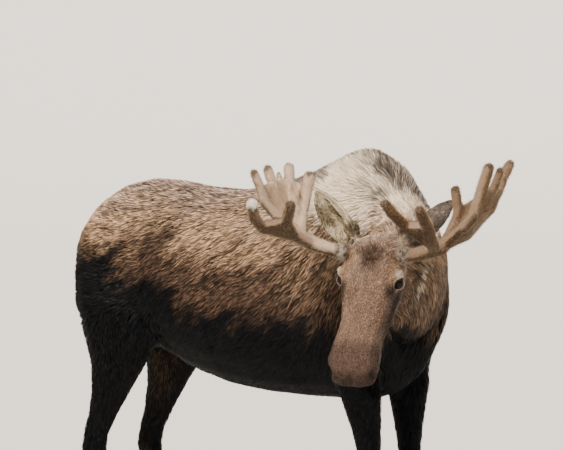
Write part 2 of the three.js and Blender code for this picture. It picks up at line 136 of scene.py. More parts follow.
def noise(points, cell, seed):
    """Smooth random values from -1 to 1, with features about one cell across."""
    scaled = points / cell
    low = np.floor(scaled).astype(np.int64)
    part = scaled - low
    ease = part * part * (3 - 2 * part)
    total = np.zeros(len(points))
    for corner in product((0, 1), repeat=3):
        cells = low + corner
        mixed = cells[:, 0] * 73856093 ^ cells[:, 1] * 19349663 ^ cells[:, 2] * 83492791 ^ seed * 15485863
        mixed = (mixed ^ mixed >> 13) * 1274126177
        value = ((mixed ^ mixed >> 16) & 0xFFFF) / 32767.5 - 1
        total += value * np.prod(np.where(corner, ease, 1 - ease), axis=1)
    return total


def streaks(points, flow, cell, run, seed):
    """Noise drawn out along the lie of the coat over a run on either side."""
    return sum(noise(points + flow * run * share, cell, seed) for share in (-1, -0.5, 0, 0.5, 1)) / 2.2


def linear(hex_colour):
    """An sRGB hex colour as linear red, green and blue."""
    values = np.array([int(hex_colour[i : i + 2], 16) / 255 for i in (1, 3, 5)])
    return np.where(values <= 0.04045, values / 12.92, ((values + 0.055) / 1.055) ** 2.4)


# ---- Meshes --------------------------------------------------------------------------------------


def show(name, points, faces, material):
    """Adds a mesh. Its faces all have equally many corners."""
    mesh = bpy.data.meshes.new(name)
    corners = faces.shape[1]
    mesh.vertices.add(len(points))
    mesh.vertices.foreach_set("co", np.ascontiguousarray(points, np.float32).ravel())
    mesh.loops.add(faces.size)
    mesh.loops.foreach_set("vertex_index", np.ascontiguousarray(faces, np.int32).ravel())
    mesh.polygons.add(len(faces))
    mesh.polygons.foreach_set("loop_start", np.arange(0, faces.size, corners, dtype=np.int32))
    mesh.update(calc_edges=True)
    mesh.polygons.foreach_set("use_smooth", np.ones(len(faces), bool))
    mesh.materials.append(material)
    piece = bpy.data.objects.new(name, mesh)
    bpy.context.scene.collection.objects.link(piece)
    return piece


def tint(piece, colours):
    """Gives each point of a piece its own colour."""
    rgba = np.ones((len(colours), 4), np.float32)
    rgba[:, :3] = colours
    layer = piece.data.color_attributes.new("tint", "FLOAT_COLOR", "POINT")
    layer.data.foreach_set("color", rgba.ravel())


def mark(piece, name, values):
    """Gives each point of a piece a number that its material reads by name."""
    layer = piece.data.attributes.new(name, "FLOAT", "POINT")
    layer.data.foreach_set("value", np.ascontiguousarray(values, np.float32))


def finish_piece(piece, replaced=()):
    """Ties a piece to the body, and hides the CAD nodes that it stands in for."""
    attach(piece, "root")
    if replaced:
        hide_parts(*replaced)


def gathered(nodes):
    """The nodes' points and triangles in one list, and the node that each triangle is from."""
    points, triangles, owner = [], [], []
    count = 0
    for number, node in enumerate(nodes):
        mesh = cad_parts[node].data
        mesh.calc_loop_triangles()
        flat = np.empty(3 * len(mesh.vertices), np.float32)
        mesh.vertices.foreach_get("co", flat)
        corners = np.empty(3 * len(mesh.loop_triangles), np.int32)
        mesh.loop_triangles.foreach_get("vertices", corners)
        points.append(flat.reshape(-1, 3))
        triangles.append(corners.reshape(-1, 3) + count)
        owner.append(np.full(len(corners) // 3, number))
        count += len(points[-1])
    return np.concatenate(points), np.concatenate(triangles), np.concatenate(owner)


def remeshed(nodes, voxel):
    """Joins CAD nodes into one even skin of small squares, and returns its points and faces."""
    points, triangles, _ = gathered(nodes)
    rough = bpy.data.meshes.new("rough")
    rough.from_pydata(points.tolist(), [], triangles.tolist())
    source = bpy.data.objects.new("rough", rough)
    bpy.context.scene.collection.objects.link(source)
    even = source.modifiers.new("even", "REMESH")
    even.mode = "VOXEL"
    even.voxel_size = voxel * MM
    mesh = source.evaluated_get(bpy.context.evaluated_depsgraph_get()).to_mesh()
    flat = np.empty(3 * len(mesh.vertices), np.float32)
    mesh.vertices.foreach_get("co", flat)
    corners = np.empty(len(mesh.loops), np.int32)
    mesh.loops.foreach_get("vertex_index", corners)
    bpy.data.objects.remove(source)
    return largest(flat.reshape(-1, 3).astype(float), corners.reshape(-1, 4))


def kept(points, faces, keep):
    """Only the faces whose points are all kept, with the points numbered anew."""
    faces = faces[keep[faces].all(1)]
    used = np.unique(faces)
    number = np.full(len(points), -1)
    number[used] = np.arange(len(used))
    return used, number[faces]


def largest(points, faces):
    """Drops loose bits, such as bubbles at the cuts between nodes, and keeps the largest body."""
    label = np.arange(len(points))
    while True:
        low = label[faces].min(1)
        fresh = label.copy()
        for corner in range(faces.shape[1]):
            np.minimum.at(fresh, faces[:, corner], low)
        fresh = fresh[fresh]
        if (fresh == label).all():
            break
        label = fresh
    used, faces = kept(points, faces, label == np.bincount(label).argmax())
    return points[used], faces


def edges(faces):
    """Each pair of neighbouring points, once."""
    pairs = np.concatenate([faces[:, [i, (i + 1) % faces.shape[1]]] for i in range(faces.shape[1])])
    return np.unique(np.sort(pairs, axis=1), axis=0)


def averaged(values, pairs, rounds, pull=0.5):
    """Draws each point's values towards the mean of its neighbours'."""
    rows = values.reshape(len(values), -1).copy()
    count = np.maximum(np.bincount(pairs.ravel(), minlength=len(rows)), 1)
    pull = np.broadcast_to(pull, len(rows))
    for _ in range(rounds):
        for column in range(rows.shape[1]):
            from_ends = rows[pairs[:, ::-1], column].ravel()
            total = np.bincount(pairs.ravel(), weights=from_ends, minlength=len(rows))
            rows[:, column] += pull * (total / count - rows[:, column])
    return rows.reshape(values.shape)


def rounded(points, pairs, rounds, pull=0.6):
    """Takes the facets off without shrinking the form."""
    for _ in range(rounds):
        points = averaged(points, pairs, 1, pull)
        points = averaged(points, pairs, 1, -1.04 * np.asarray(pull))
    return points


def normals(points, faces):
    """The direction out of the surface at each point."""
    a, b, c = points[faces[:, 0]], points[faces[:, 1]], points[faces[:, 2]]
    facing = np.cross(b - a, c - a)
    if faces.shape[1] == 4:
        facing = np.cross(c - a, points[faces[:, 3]] - b)
    total = np.zeros_like(points)
    for axis in range(3):
        for corner in range(faces.shape[1]):
            share = np.bincount(faces[:, corner], weights=facing[:, axis], minlength=len(points))
            total[:, axis] += share
    return unit(total)


# ---- Nodes of a material -------------------------------------------------------------------------

# The sockets of a Mix node that blends two colours.
MIX_FACTOR, MIX_FIRST, MIX_SECOND, MIX_RESULT = 0, 6, 7, 2
WAVE_PERIOD = math.pi / 10  # metres from ring to ring in a Wave texture of scale 1


def add(material, kind, links=None, values=None, **settings):
    """Adds one node with its settings, its fixed inputs, and the sockets that feed it."""
    tree = material.node_tree
    node = tree.nodes.new(kind)
    for name, value in settings.items():
        setattr(node, name, value)
    for socket, value in (values or {}).items():
        node.inputs[socket].default_value = value
    for socket, source in (links or {}).items():
        tree.links.new(source, node.inputs[socket])
    return node


def new_material(name):
    material = bpy.data.materials.new(name)
    material.use_nodes = True
    material.node_tree.nodes.clear()
    return material


def rgba(hex_colour):
    return (*linear(hex_colour), 1)


def grained(material, size, low, high):
    """The piece's own tint, broken up by a grain of a size in millimetres that turns it darker and paler.

    Returns the colour and the grain."""
    colour = add(material, "ShaderNodeAttribute", attribute_name="tint")
    place = add(material, "ShaderNodeTexCoord")
    grain = add(
        material,
        "ShaderNodeTexNoise",
        {"Vector": place.outputs["Object"]},
        {"Scale": 1 / (size * MM), "Detail": 3.0},
    )
    shade = add(
        material,
        "ShaderNodeMapRange",
        {"Value": grain.outputs["Fac"]},
        {"From Min": 0.3, "From Max": 0.7, "To Min": low, "To Max": high},
    )
    tone = add(
        material,
        "ShaderNodeHueSaturation",
        {"Color": colour.outputs["Color"], "Value": shade.outputs["Result"]},
    )
    return tone.outputs["Color"], grain.outputs["Fac"]


def guard_hair():
    """Moose guard hair: hollow, coarse and straight, 0.3 mm thick, dull, with a faint shine on each lock.

    The eye sees dark roots and pale ends, so the colour comes from the point on the lock. A grain of 2 mm
    stands for the single hairs, which are too thin to show."""
    material = new_material("moose_guard_hair")
    colour, _ = grained(material, 2, low=0.8, high=1.15)
    shader = add(
        material,
        "ShaderNodeBsdfPrincipled",
        {"Base Color": colour},
        {"Roughness": 0.5, "Specular IOR Level": 0.1},
    )
    add(material, "ShaderNodeOutputMaterial", {"Surface": shader.outputs["BSDF"]})
    return material


def moose_hide():
    """Moose hide under the coat: dull woolly underfur, with bare dark leather at the nostrils and lids.

    The eye sees hair that lies flat as a fine grain, about 3 mm across, and bare skin as smoother and a
    little moist."""
    material = new_material("moose_hide_with_underfur")
    colour, grain = grained(material, 3.03, low=0.75, high=1.15)
    bare = add(material, "ShaderNodeAttribute", attribute_name="bare")
    rough = add(
        material,
        "ShaderNodeMapRange",
        {"Value": bare.outputs["Fac"]},
        {"To Min": 0.75, "To Max": 0.5},
    )
    bump = add(material, "ShaderNodeBump", {"Height": grain}, {"Strength": 0.45, "Distance": 1.5 * MM})
    shader = add(
        material,
        "ShaderNodeBsdfPrincipled",
        {"Base Color": colour, "Roughness": rough.outputs["Result"], "Normal": bump.outputs["Normal"]},
        {"Specular IOR Level": 0.2},
    )
    add(material, "ShaderNodeOutputMaterial", {"Surface": shader.outputs["BSDF"]})
    return material


def antler_velvet():
    """Antler velvet: living skin with a dense, short pile of soft hairs.

    The eye sees a soft surface that lights up at its edges, where the pile stands against the light, so
    it has a strong sheen over a grain about 4 mm across. Single hairs are too fine to show. The pile is
    drawn as tufts, which stand 3 to 7 mm high."""
    material = new_material("antler_velvet")
    colour, grain = grained(material, 3.85, low=0.78, high=1.18)
    bump = add(material, "ShaderNodeBump", {"Height": grain}, {"Strength": 0.4, "Distance": 2 * MM})
    shader = add(
        material,
        "ShaderNodeBsdfPrincipled",
        {"Base Color": colour, "Normal": bump.outputs["Normal"]},
        {
            "Roughness": 0.8,
            "Specular IOR Level": 0.2,
            "Sheen Weight": 0.8,
            "Sheen Roughness": 0.25,
            "Sheen Tint": rgba("#e8cfa8"),
        },
    )
    add(material, "ShaderNodeOutputMaterial", {"Surface": shader.outputs["BSDF"]})
    return material


def hoof_horn():
    """Hoof horn: black keratin that grows down in rings about 12 mm apart, worn to a satin shine.

    The eye sees the rings as faint ridges and a little grey dust."""
    material = new_material("hoof_horn")
    place = add(material, "ShaderNodeTexCoord")
    rings = add(
        material,
        "ShaderNodeTexWave",
        {"Vector": place.outputs["Object"]},
        {"Scale": WAVE_PERIOD / (12.08 * MM), "Distortion": 3.0, "Detail": 2.0, "Detail Scale": 1.5},
        bands_direction="Z",
    )
    colour = add(
        material,
        "ShaderNodeMix",
        {MIX_FACTOR: rings.outputs["Fac"]},
        {MIX_FIRST: rgba("#120f0d"), MIX_SECOND: rgba("#251f1b")},
        data_type="RGBA",
    )
    bump = add(
        material,
        "ShaderNodeBump",
        {"Height": rings.outputs["Fac"]},
        {"Strength": 0.35, "Distance": 0.5 * MM},
    )
    shader = add(
        material,
        "ShaderNodeBsdfPrincipled",
        {"Base Color": colour.outputs[MIX_RESULT], "Normal": bump.outputs["Normal"]},
        {"Roughness": 0.38, "IOR": 1.55},
    )
    add(material, "ShaderNodeOutputMaterial", {"Surface": shader.outputs["BSDF"]})
    return material


def wet_eye():
    """A moose's eye: a nearly black brown iris under a wet, clear cornea.

    The eye sees little but depth and one small sharp highlight."""
    material = new_material("wet_dark_eye")
    colour = add(material, "ShaderNodeAttribute", attribute_name="tint")
    shader = add(
        material,
        "ShaderNodeBsdfPrincipled",
        {"Base Color": colour.outputs["Color"]},
        {"Roughness": 0.07, "Specular IOR Level": 0.13},
    )
    add(material, "ShaderNodeOutputMaterial", {"Surface": shader.outputs["BSDF"]})
    return material


def studio_floor():
    """Matt white painted floor, with a faint roller texture 20 mm across."""
    material = new_material("matt_white_floor")
    place = add(material, "ShaderNodeTexCoord")
    texture = add(
        material,
        "ShaderNodeTexNoise",
        {"Vector": place.outputs["Object"]},
        {"Scale": 1 / (20 * MM)},
    )
    bump = add(
        material,
        "ShaderNodeBump",
        {"Height": texture.outputs["Fac"]},
        {"Strength": 0.05, "Distance": MM},
    )
    shader = add(
        material,
        "ShaderNodeBsdfPrincipled",
        {"Normal": bump.outputs["Normal"]},
        {"Base Color": rgba("#e9e7e3"), "Roughness": 0.9},
    )
    add(material, "ShaderNodeOutputMaterial", {"Surface": shader.outputs["BSDF"]})
    return material


# ---- Head ----------------------------------------------------------------------------------------

EAR_BASE = (118, 82, 150)  # in the crown's frame, for the left ear
EAR_LENGTH = 265
EARS = {
    "right": {"tip": (-293, 128, 351), "facing": (0.1, -0.97, 0)},
    "left": {"tip": (305, 140, 362), "facing": (0.45, 0.85, -0.2)},
}
EAR_ROOT_BULGE = 13
BURR_CREASES = ((-58, 96), (62, 92))  # folds of skin below the antlers: how far across, how far back
EAR_HALF_WIDTHS = ((0, 0.2, 0.45, 0.7, 0.9, 1), (34, 52, 62, 52, 32, 12))  # at shares of its length
EAR_PATCH = (104, 90, 208)  # the dark patch behind an ear's root, in the crown's frame
EAR_FRINGE = (98, 76, 166)  # the pale hair below that patch
EYE_PLACE = (117, 3, EYE_LIFT)  # middle of the left eyeball, in the head's frame
EYE_RADIUS = 23
LID_THICKNESS = 2.8
UPPER_LID_EXTRA = 3.5  # how much further the upper lid stands out
LID_REACH = 26  # how far past the eyeball the lids draw the skin
EYE_OUT = (0.6, -0.74, 0.32)  # where the left eye looks
EYE_SLIT = (0.55, 0.75, 0.35)  # from its inner corner to its outer one
EYE_OPENING = (21.5, 18)  # half length and half height of the opening between the lids
NOSE_SWING = np.array([(0, 0), (75, 6), (135, 12), (200, 18), (265, 24), (325, 29), (380, 33), (456, 36)])


def swing(back):
    """How far the middle of the nose lies to the left of the head's own middle."""
    return np.interp(-back, *NOSE_SWING.T)


def ear_frame(side):
    """An ear's base in metres, and the directions along it, across it and out of its hollow."""
    base = outside(CROWN, np.array(EAR_BASE) * (SIDES[side], 1, 1))
    along = unit(outside(CROWN, EARS[side]["tip"]) - base)
    sideways = unit(np.cross(along, turned(CROWN, EARS[side]["facing"])))
    return base, along, sideways, np.cross(sideways, along)


def ear_places(skin, side):
    """For points of an ear: the share of its length, how squarely each faces out, and how far across."""
    base, along, sideways, facing = ear_frame(side)
    away = skin.points - base
    return away @ along / (EAR_LENGTH * MM), skin.normals @ facing, away @ sideways / MM


def press(points, centre, reach, move):
    """Moves a soft round patch of the head and its mirror image. Frame and sizes are the left side's."""
    for side in (-1, 1):
        flip = np.array([side, 1, 1])
        points += spot(points, np.array(centre) * flip, reach)[:, None] * np.array(move) * flip


def sculpted(points):
    """Draws the face's forms on points in the head's own frame."""
    points = points.copy()
    points[:, 0] -= swing(points[:, 1])
    press(points, (104, -62, -30), (40, 44, 26), (-5, 0, 0))  # hollow before the eye
    press(points, (98, -130, -66), (34, 100, 26), (10, 0, 0))  # ridge of the cheekbone
    press(points, (118, 10, -80), (30, 80, 40), (-6, 0, 0))  # flat of the cheek
    press(points, (86, -230, -55), (40, 60, 36), (-6, 0, 0))  # side of the nose
    press(points, (112, 8, 46), (30, 34, 16), (5, -3, 5))  # brow over each eye
    press(points, (60, 60, 84), (34, 44, 30), (0, 0, 5))  # bump below each antler
    press(points, (0, 20, 80), (26, 60, 30), (0, 0, -5))  # furrow down the forehead
    press(points, (0, 150, 96), (52, 40, 40), (0, 0, 8))  # knob between the antlers
    crown = spot(points, (52, 202, 62), (62, 60, 52))[:, None]
    points += crown * (0, 15, 19)  # tuft of the crown, fuller on the left
    press(points, (106, 212, 100), (26, 32, 30), (-15, 0, 9))  # foot of the ear, on its inner side
    press(points, (86, -430, -58), (22, 21, 14), (-32, 16, 3))  # nostril
    press(points, (88, -396, -28), (28, 34, 13), (7, 0, 5))  # its upper rim
    press(points, (86, -456, -88), (26, 22, 12), (5, -4, -1))  # its lower rim
    press(points, (0, -474, -66), (13, 20, 34), (0, 7, 0))  # cleft of the nose
    for across, along in BURR_CREASES:
        fold = spot(points, (across, along, 78), (17, 4.5, 30))
        fold -= spot(points, (across, along - 8, 78), (17, 5, 30))
        points[:, 2] -= 6 * fold
    x, back, up = points.T
    lips = -106 - 0.12 * (back + 470)
    along = step(-280, -340, back)
    groove = along * np.exp(-(((up - lips) / 6) ** 2))
    points[:, 0] -= np.sign(x) * 8 * groove * step(0, 30, np.abs(x))
    points[:, 1] += 10 * groove * step(-440, -462, back)
    jaw = along * step(0, -14, up - lips)
    points[:, 0] *= 1 - 0.2 * jaw
    points[:, 1] += 18 * jaw * step(-400, -460, back)
    points[:, 0] += swing(points[:, 1])
    return points


def eye_frame(sign):
    """An eye's middle, and the directions it looks in, along its slit and up across the slit."""
    flip = np.array([sign, 1, 1])
    out = unit(np.array(EYE_OUT) * flip)
    slit = np.array(EYE_SLIT) * flip
    slit = unit(slit - (slit @ out) * out)
    rise = np.cross(out, slit)
    return np.array(EYE_PLACE) * flip, out, slit, rise * np.sign(rise[2])


def lidded(points):
    """Wraps the skin round each eyeball as a pair of lids.

    Returns the points, how bare the skin is at each, and how near each lies to the rim of a lower lid."""
    bare, lower = np.zeros((2, len(points)))
    for sign in SIDES.values():
        centre, out, slit, rise = eye_frame(sign)
        away = points - centre
        along, above, ahead = away @ slit, away @ rise, away @ out
        from_axis = np.sqrt(along**2 + above**2)
        upper = step(-2, 6, above)
        sphere = EYE_RADIUS + LID_THICKNESS + UPPER_LID_EXTRA * upper
        opening = np.sqrt((along / EYE_OPENING[0]) ** 2 + (above / EYE_OPENING[1]) ** 2)
        lid = np.sqrt(np.maximum(sphere**2 - from_axis**2, 0))
        skirt = -0.55 * (from_axis - sphere * 0.85)
        dome = np.where(from_axis < sphere, np.maximum(lid, skirt), skirt)
        near = (ahead > -34) & (from_axis < sphere + LID_REACH)
        crease = 2.5 * np.exp(-(((from_axis - sphere - 5) / 2.5) ** 2))
        behind_ball = lid - 9  # the skin inside the opening is hidden by the eyeball
        target = np.where(opening < 1, behind_ball, np.maximum(ahead, dome) - crease)
        pull = near * step(sphere + LID_REACH, sphere + 2, from_axis)
        points += (pull * (target - ahead))[:, None] * out
        bare = np.maximum(bare, near * step(1.5, 1.2, opening - 0.12 * upper))
        lower = np.maximum(lower, near * step(1, -4, above) * step(1.22, 1.14, opening))
    return points, bare, lower


# ---- Markings ------------------------------------------------------------------------------------

# Each coat colour is a pair: the hair's root and its end.
COAT_COLOURS = {
    "tan": ("#1e1209", "#bc9a79"),
    "ash": ("#2c211a", "#c2a898"),
    "cream": ("#d6bfa3", "#ffeed6"),
    "umber": ("#0e0906", "#564234"),
    "soot": ("#010102", "#08090d"),
    "grizzle": ("#17120f", "#6a5d58"),
    "shank": ("#1f1813", "#61503f"),
    "face": ("#453327", "#9d806c"),
    "ochre": ("#49321f", "#9e7c5b"),
    "crown": ("#7a6353", "#c6ac98"),
    "dusk": ("#0f0b08", "#3b2c23"),
    "muzzle": ("#2b1e19", "#604b42"),
    "lining": ("#6b5d42", "#d0bd94"),
    "ear_back": ("#3d332b", "#94867a"),
    "fringe": ("#b39f7b", "#fff0d8"),
    "leather": ("#0b0807", "#17100d"),
}

# Pale hair between jaw and neck, and tan hair at the near foot of the hump: middle and reach.
JAW_STREAK = ((-400, -915, 1462), (17, 80, 80))
HUMP_FOOT = ((-240, -600, 1650), (90, 100, 60))

# The last patches of the face, in order: colour, strength, and the middle and reach of the left one.
FACE_PATCHES = (
    ("fringe", 0.85, (104, 166, 58), (26, 28, 32)),  # in front of the ear
    ("dusk", 0.95, (92, 214, 104), (32, 38, 30)),  # between the ear and the poll
    ("tan", 0.8, (108, -22, 32), (22, 24, 28)),  # over the eye's inner corner
    # Painted highlight on the brow.
    ("cream", 0.6, (128, 6, 50), (16, 22, 14)),  # brow
    # Painted shade: the next three darken the hollows before and below the eye and along the cheekbone.
    ("dusk", 0.85, (97, -62, 22), (20, 26, 22)),  # hollow before the eye
    ("leather", 1, (112, -34, -36), (42, 44, 34)),  # below the eye
    ("dusk", 0.8, (106, -100, -52), (34, 66, 34)),  # and on along the cheekbone
    # Pale hair behind the eye, with a painted highlight on it.
    ("cream", 0.6, (134, 30, 32), (16, 22, 14)),  # behind the eye
    # Bare dark skin of the nostril, with painted shade inside it.
    ("leather", 0.9, (84, -428, -56), (22, 22, 16)),  # nostril
)

# Where the brown flank turns to black, from the breast back to the buttocks: how far back, and how high.
DARK_LINE = np.array(
    [
        (-760, 1268),
        (-400, 1240),
        (-145, 1262),
        (113, 1265),
        (245, 1280),
        (361, 1306),
        (419, 1368),
        (497, 1405),
        (650, 1425),
        (749, 1430),
        (960, 1500),
    ]
)


def over(layers, weight, colour):
    """Lays one coat colour over what is there."""
    for layer, end in zip(layers, COAT_COLOURS[colour]):
        layer += np.clip(weight, 0, 1)[:, None] * (linear(end) - layer)


def plain(colour, count):
    """The same root and end colour for every point."""
    return [np.tile(linear(end), (count, 1)) for end in COAT_COLOURS[colour]]


def body_markings(places, flow):
    """Root and end colours for points of the trunk, neck, legs and tail."""
    x, back, up = places.T
    layers = plain("tan", len(places))
    wisps = streaks(places, flow, 32, 60, seed=1)
    clouds = noise(places, 190, seed=2)
    ragged_up = up + 60 * wisps
    above = up - (np.interp(back, *DARK_LINE.T) + 26 * clouds + 70 * wisps)

    topline = step(1560, 1760, up + 60 * clouds + 50 * wisps)
    over(layers, 0.7 * topline, "ash")
    loin = step(0.1, 0.8, wisps + 0.4 * clouds) * step(300, 650, back) * step(1560, 1680, up)
    over(layers, 0.5 * loin, "dusk")
    flank = step(310, 110, above) * step(800, 520, back) * step(-300, -100, back)
    over(layers, 0.96 * flank, "umber")
    fade = step(0, 1, (240 - 80 * step(520, 760, back) - above) / 150)
    over(layers, 0.8 * fade, "umber")
    neck = step(-120, -330, back) * step(1700, 1480, ragged_up)
    over(layers, 0.65 * neck, "umber")
    # Painted shade: umber on the far, left side of the neck and breast, which turn away from the light.
    far_neck_shade = step(60, 220, x) * step(-120, -300, back) * step(1640, 1540, ragged_up)
    over(layers, 0.8 * far_neck_shade, "umber")
    far_breast_shade = step(-210, -60, x) * step(-560, -740, back) * step(1520, 1400, ragged_up)
    over(layers, 0.75 * far_breast_shade, "umber")

    hump = step(1570, 1730, ragged_up + 40 * clouds) * step(40, -220, back + 60 * wisps)
    over(layers, hump, "cream")
    # The mane's own grey-brown along the crest and nape, which also stands for painted shade where the
    # coat turns away on the far, left side.
    crest = step(200, 100, np.abs(x + 20)) * step(1740, 1800, up) * step(-300, -220, back + 50 * wisps)
    over(layers, 0.85 * crest * step(200, 40, back), "grizzle")
    nape = step(-135, -55, x + 24 * wisps) * step(1600, 1700, up) * step(-380, -500, back)
    ridge = step(-95, -35, x + 24 * wisps) * step(1600, 1700, up) * step(-60, -260, back)
    over(layers, 0.8 * np.maximum(nape, ridge), "grizzle")

    over(layers, step(60, -60, above), "soot")
    shanks = step(640, 470, up) * step(30, 70, up)
    over(layers, 0.85 * shanks, "shank")
    inner_thighs = step(150, 110, np.abs(x)) * step(1150, 1000, up) * step(640, 720, back)
    over(layers, 0.6 * inner_thighs, "shank")
    over(layers, 0.4 * spot(places, *JAW_STREAK), "cream")
    over(layers, 0.35 * spot(places, *HUMP_FOOT), "tan")
    return layers


def face_markings(places):
    """Root and end colours for points of the head, in the head's own frame."""
    x, back, up = places.T
    out = np.abs(x - swing(back))
    mirrored = np.stack([out, back, up], axis=1)
    wisps = noise(places, 14, seed=3) + noise(places, 40, seed=4)
    layers = plain("face", len(places))

    poll = step(95, 175, back + 12 * wisps) * step(20, 60, up)
    over(layers, 0.85 * poll, "crown")
    over(layers, 0.5 * spot(mirrored, (62, 60, 70), (34, 60, 60)), "crown")
    jaw = step(0, -70, up + 10 * wisps) * step(-360, -230, back)
    over(layers, 0.8 * jaw, "dusk")
    over(layers, 0.7 * step(-110, -150, up), "dusk")
    over(layers, 0.9 * step(-290, -400, back + 12 * wisps), "muzzle")
    upper_lip = step(-395, -440, back + 8 * wisps) * step(-10, -60, up)
    over(layers, 0.75 * upper_lip, "dusk")

    over(layers, 0.55 * spot(places, (-46, 10, 82), (44, 50, 44)), "crown")
    mottled = step(0.1, 0.9, noise(places, 26, seed=12)) * step(30, 90, out) * step(10, 50, up)
    over(layers, 0.55 * mottled, "ochre")
    over(layers, spot(places, (-8, 76, 88), (62, 56, 60)) * (0.7 + 0.4 * wisps), "umber")  # whorl
    over(layers, 0.6 * spot(places, (-6, 66, 88), (42, 42, 60)) * (0.9 + 0.6 * wisps), "dusk")
    over(layers, 0.75 * spot(mirrored, (86, 6, 66), (28, 34, 26)), "ochre")
    over(layers, 0.8 * spot(mirrored, (92, 60, 78), (30, 22, 24)), "ochre")
    # Painted shade in the creases below the antlers.
    for across, along in BURR_CREASES:
        over(layers, 0.9 * spot(places, (across, along - 3, 78), (18, 4, 30)), "dusk")
    # Painted shade in the furrow down the forehead.
    over(layers, 0.3 * spot(mirrored, (0, 20, 80), (40, 50, 50)), "dusk")
    # Painted shade on both sides of the face, where they turn away from the light.
    face_side_shade = step(64, 98, out) * step(-10, -60, back)
    over(layers, 0.6 * face_side_shade, "dusk")
    for colour, strength, centre, reach in FACE_PATCHES:
        over(layers, strength * spot(mirrored, centre, reach), colour)
    return layers


def ear_markings(layers, skin, side):
    """Adds the olive hollow with painted shade deep in it, the cream fringe along its inner edge and the
    grey-brown back of one ear.
    """
    mine = skin.node == f"ear_{side}"
    run, front, across = ear_places(skin, side)
    share = across / np.interp(run, *EAR_HALF_WIDTHS)
    wisps = streaks(inside(BODY, skin.points), skin.flow, 7, 14, seed=9)
    behind = mine * step(0.1, -0.2, front)
    hollow = mine * step(0.0, 0.3, front)
    open_side = mine * step(-0.2, 0.05, front)
    rim = mine * step(0.4, 0.15, np.abs(front))

    over(layers, behind, "ear_back")
    over(layers, 0.6 * behind * step(0.6, 0.1, run), "dusk")
    over(layers, hollow, "lining")
    over(layers, 0.6 * open_side * step(0.64, 0.82, run), "fringe")
    over(layers, 0.4 * hollow * step(-0.1, 0.6, wisps), "dusk")
    # Painted shade deep in the hollow and in a stripe beside the pale band.
    depth = step(0.28, 0.1, np.abs(run - 0.62)) * step(0.1, -0.5, share)
    over(layers, 0.55 * hollow * depth, "dusk")
    shade_beside_band = step(0.16, 0.04, np.abs(share - 0.38)) * step(0.9, 0.7, run)
    over(layers, 0.6 * hollow * shade_beside_band, "dusk")
    root_wisps = step(0.2, -0.2, wisps) * step(0.5, 0.3, run) * step(0.1, -0.2, share)
    over(layers, 0.5 * hollow * root_wisps, "fringe")
    band = step(0.42, 0.54, share) * step(0.16, 0.3, run)
    over(layers, 0.95 * open_side * band, "fringe")
    over(layers, 0.8 * rim * step(-0.5, 0.4, share + run - 0.6), "fringe")
    over(layers, 0.7 * rim * step(0.0, -0.4, share + run - 0.6), "dusk")


def main_colours(skin, at_head):
    """Root and end colours for each point of the skin. Its halves meet under the hair behind the jaw."""
    at_head = at_head * step(-5, 70, from_nape(skin.points) + 25 * noise(skin.points, 0.03, seed=11))
    body = body_markings(inside(BODY, skin.points), skin.flow)
    face = face_markings(inside(HEAD, skin.points))
    layers = [b + at_head[:, None] * (f - b) for b, f in zip(body, face)]
    if at_head.any():
        for side in SIDES:
            ear_markings(layers, skin, side)
        x, back, up = inside(CROWN, skin.points).T
        mirrored = np.stack([np.abs(x), back, up], axis=1)
        over(layers, 0.97 * spot(mirrored, EAR_PATCH, (36, 36, 32)), "dusk")
        over(layers, 0.8 * spot(mirrored, EAR_FRINGE, (20, 26, 14)), "fringe")
    return layers


# ---- Skin ----------------------------------------------------------------------------------------

# For each stretch of the body: hair length, lock width, depth of the coat, and locks per square metre.
COATS = {
    "trunk": (43, 5.3, 19, 55000),
    "neck": (58, 4.6, 24, 60000),
    "tail": (70, 5.0, 12, 60000),
    "bell": (95, 5.0, 12, 70000),
    "upper_leg": (38, 4.6, 12, 46000),
    "lower_leg": (15, 3.2, 5, 85000),
    "hoof": (24, 3.0, 5, 90000),
    "head": (11, 2.2, 4.5, 100000),
    "ear": (15, 2.2, 2.5, 90000),
}
LENGTH, WIDTH, DEPTH, DENSITY = range(4)  # the columns of that table
HORN_TOP = 52  # height at which the skin of the feet ends, inside the horn
HUMP_TUFT = 15  # how much fuller the coat is on top of the hump
SEAM_OVERLAP = 45  # how far each half of the skin runs on past the seam behind the jaw
COAT_PAST_SEAM = 8  # and how far its coat does


def zone_of(node):
    """The stretch of COATS that a node is in."""
    return next(zone for zone in COATS if node.startswith(zone))


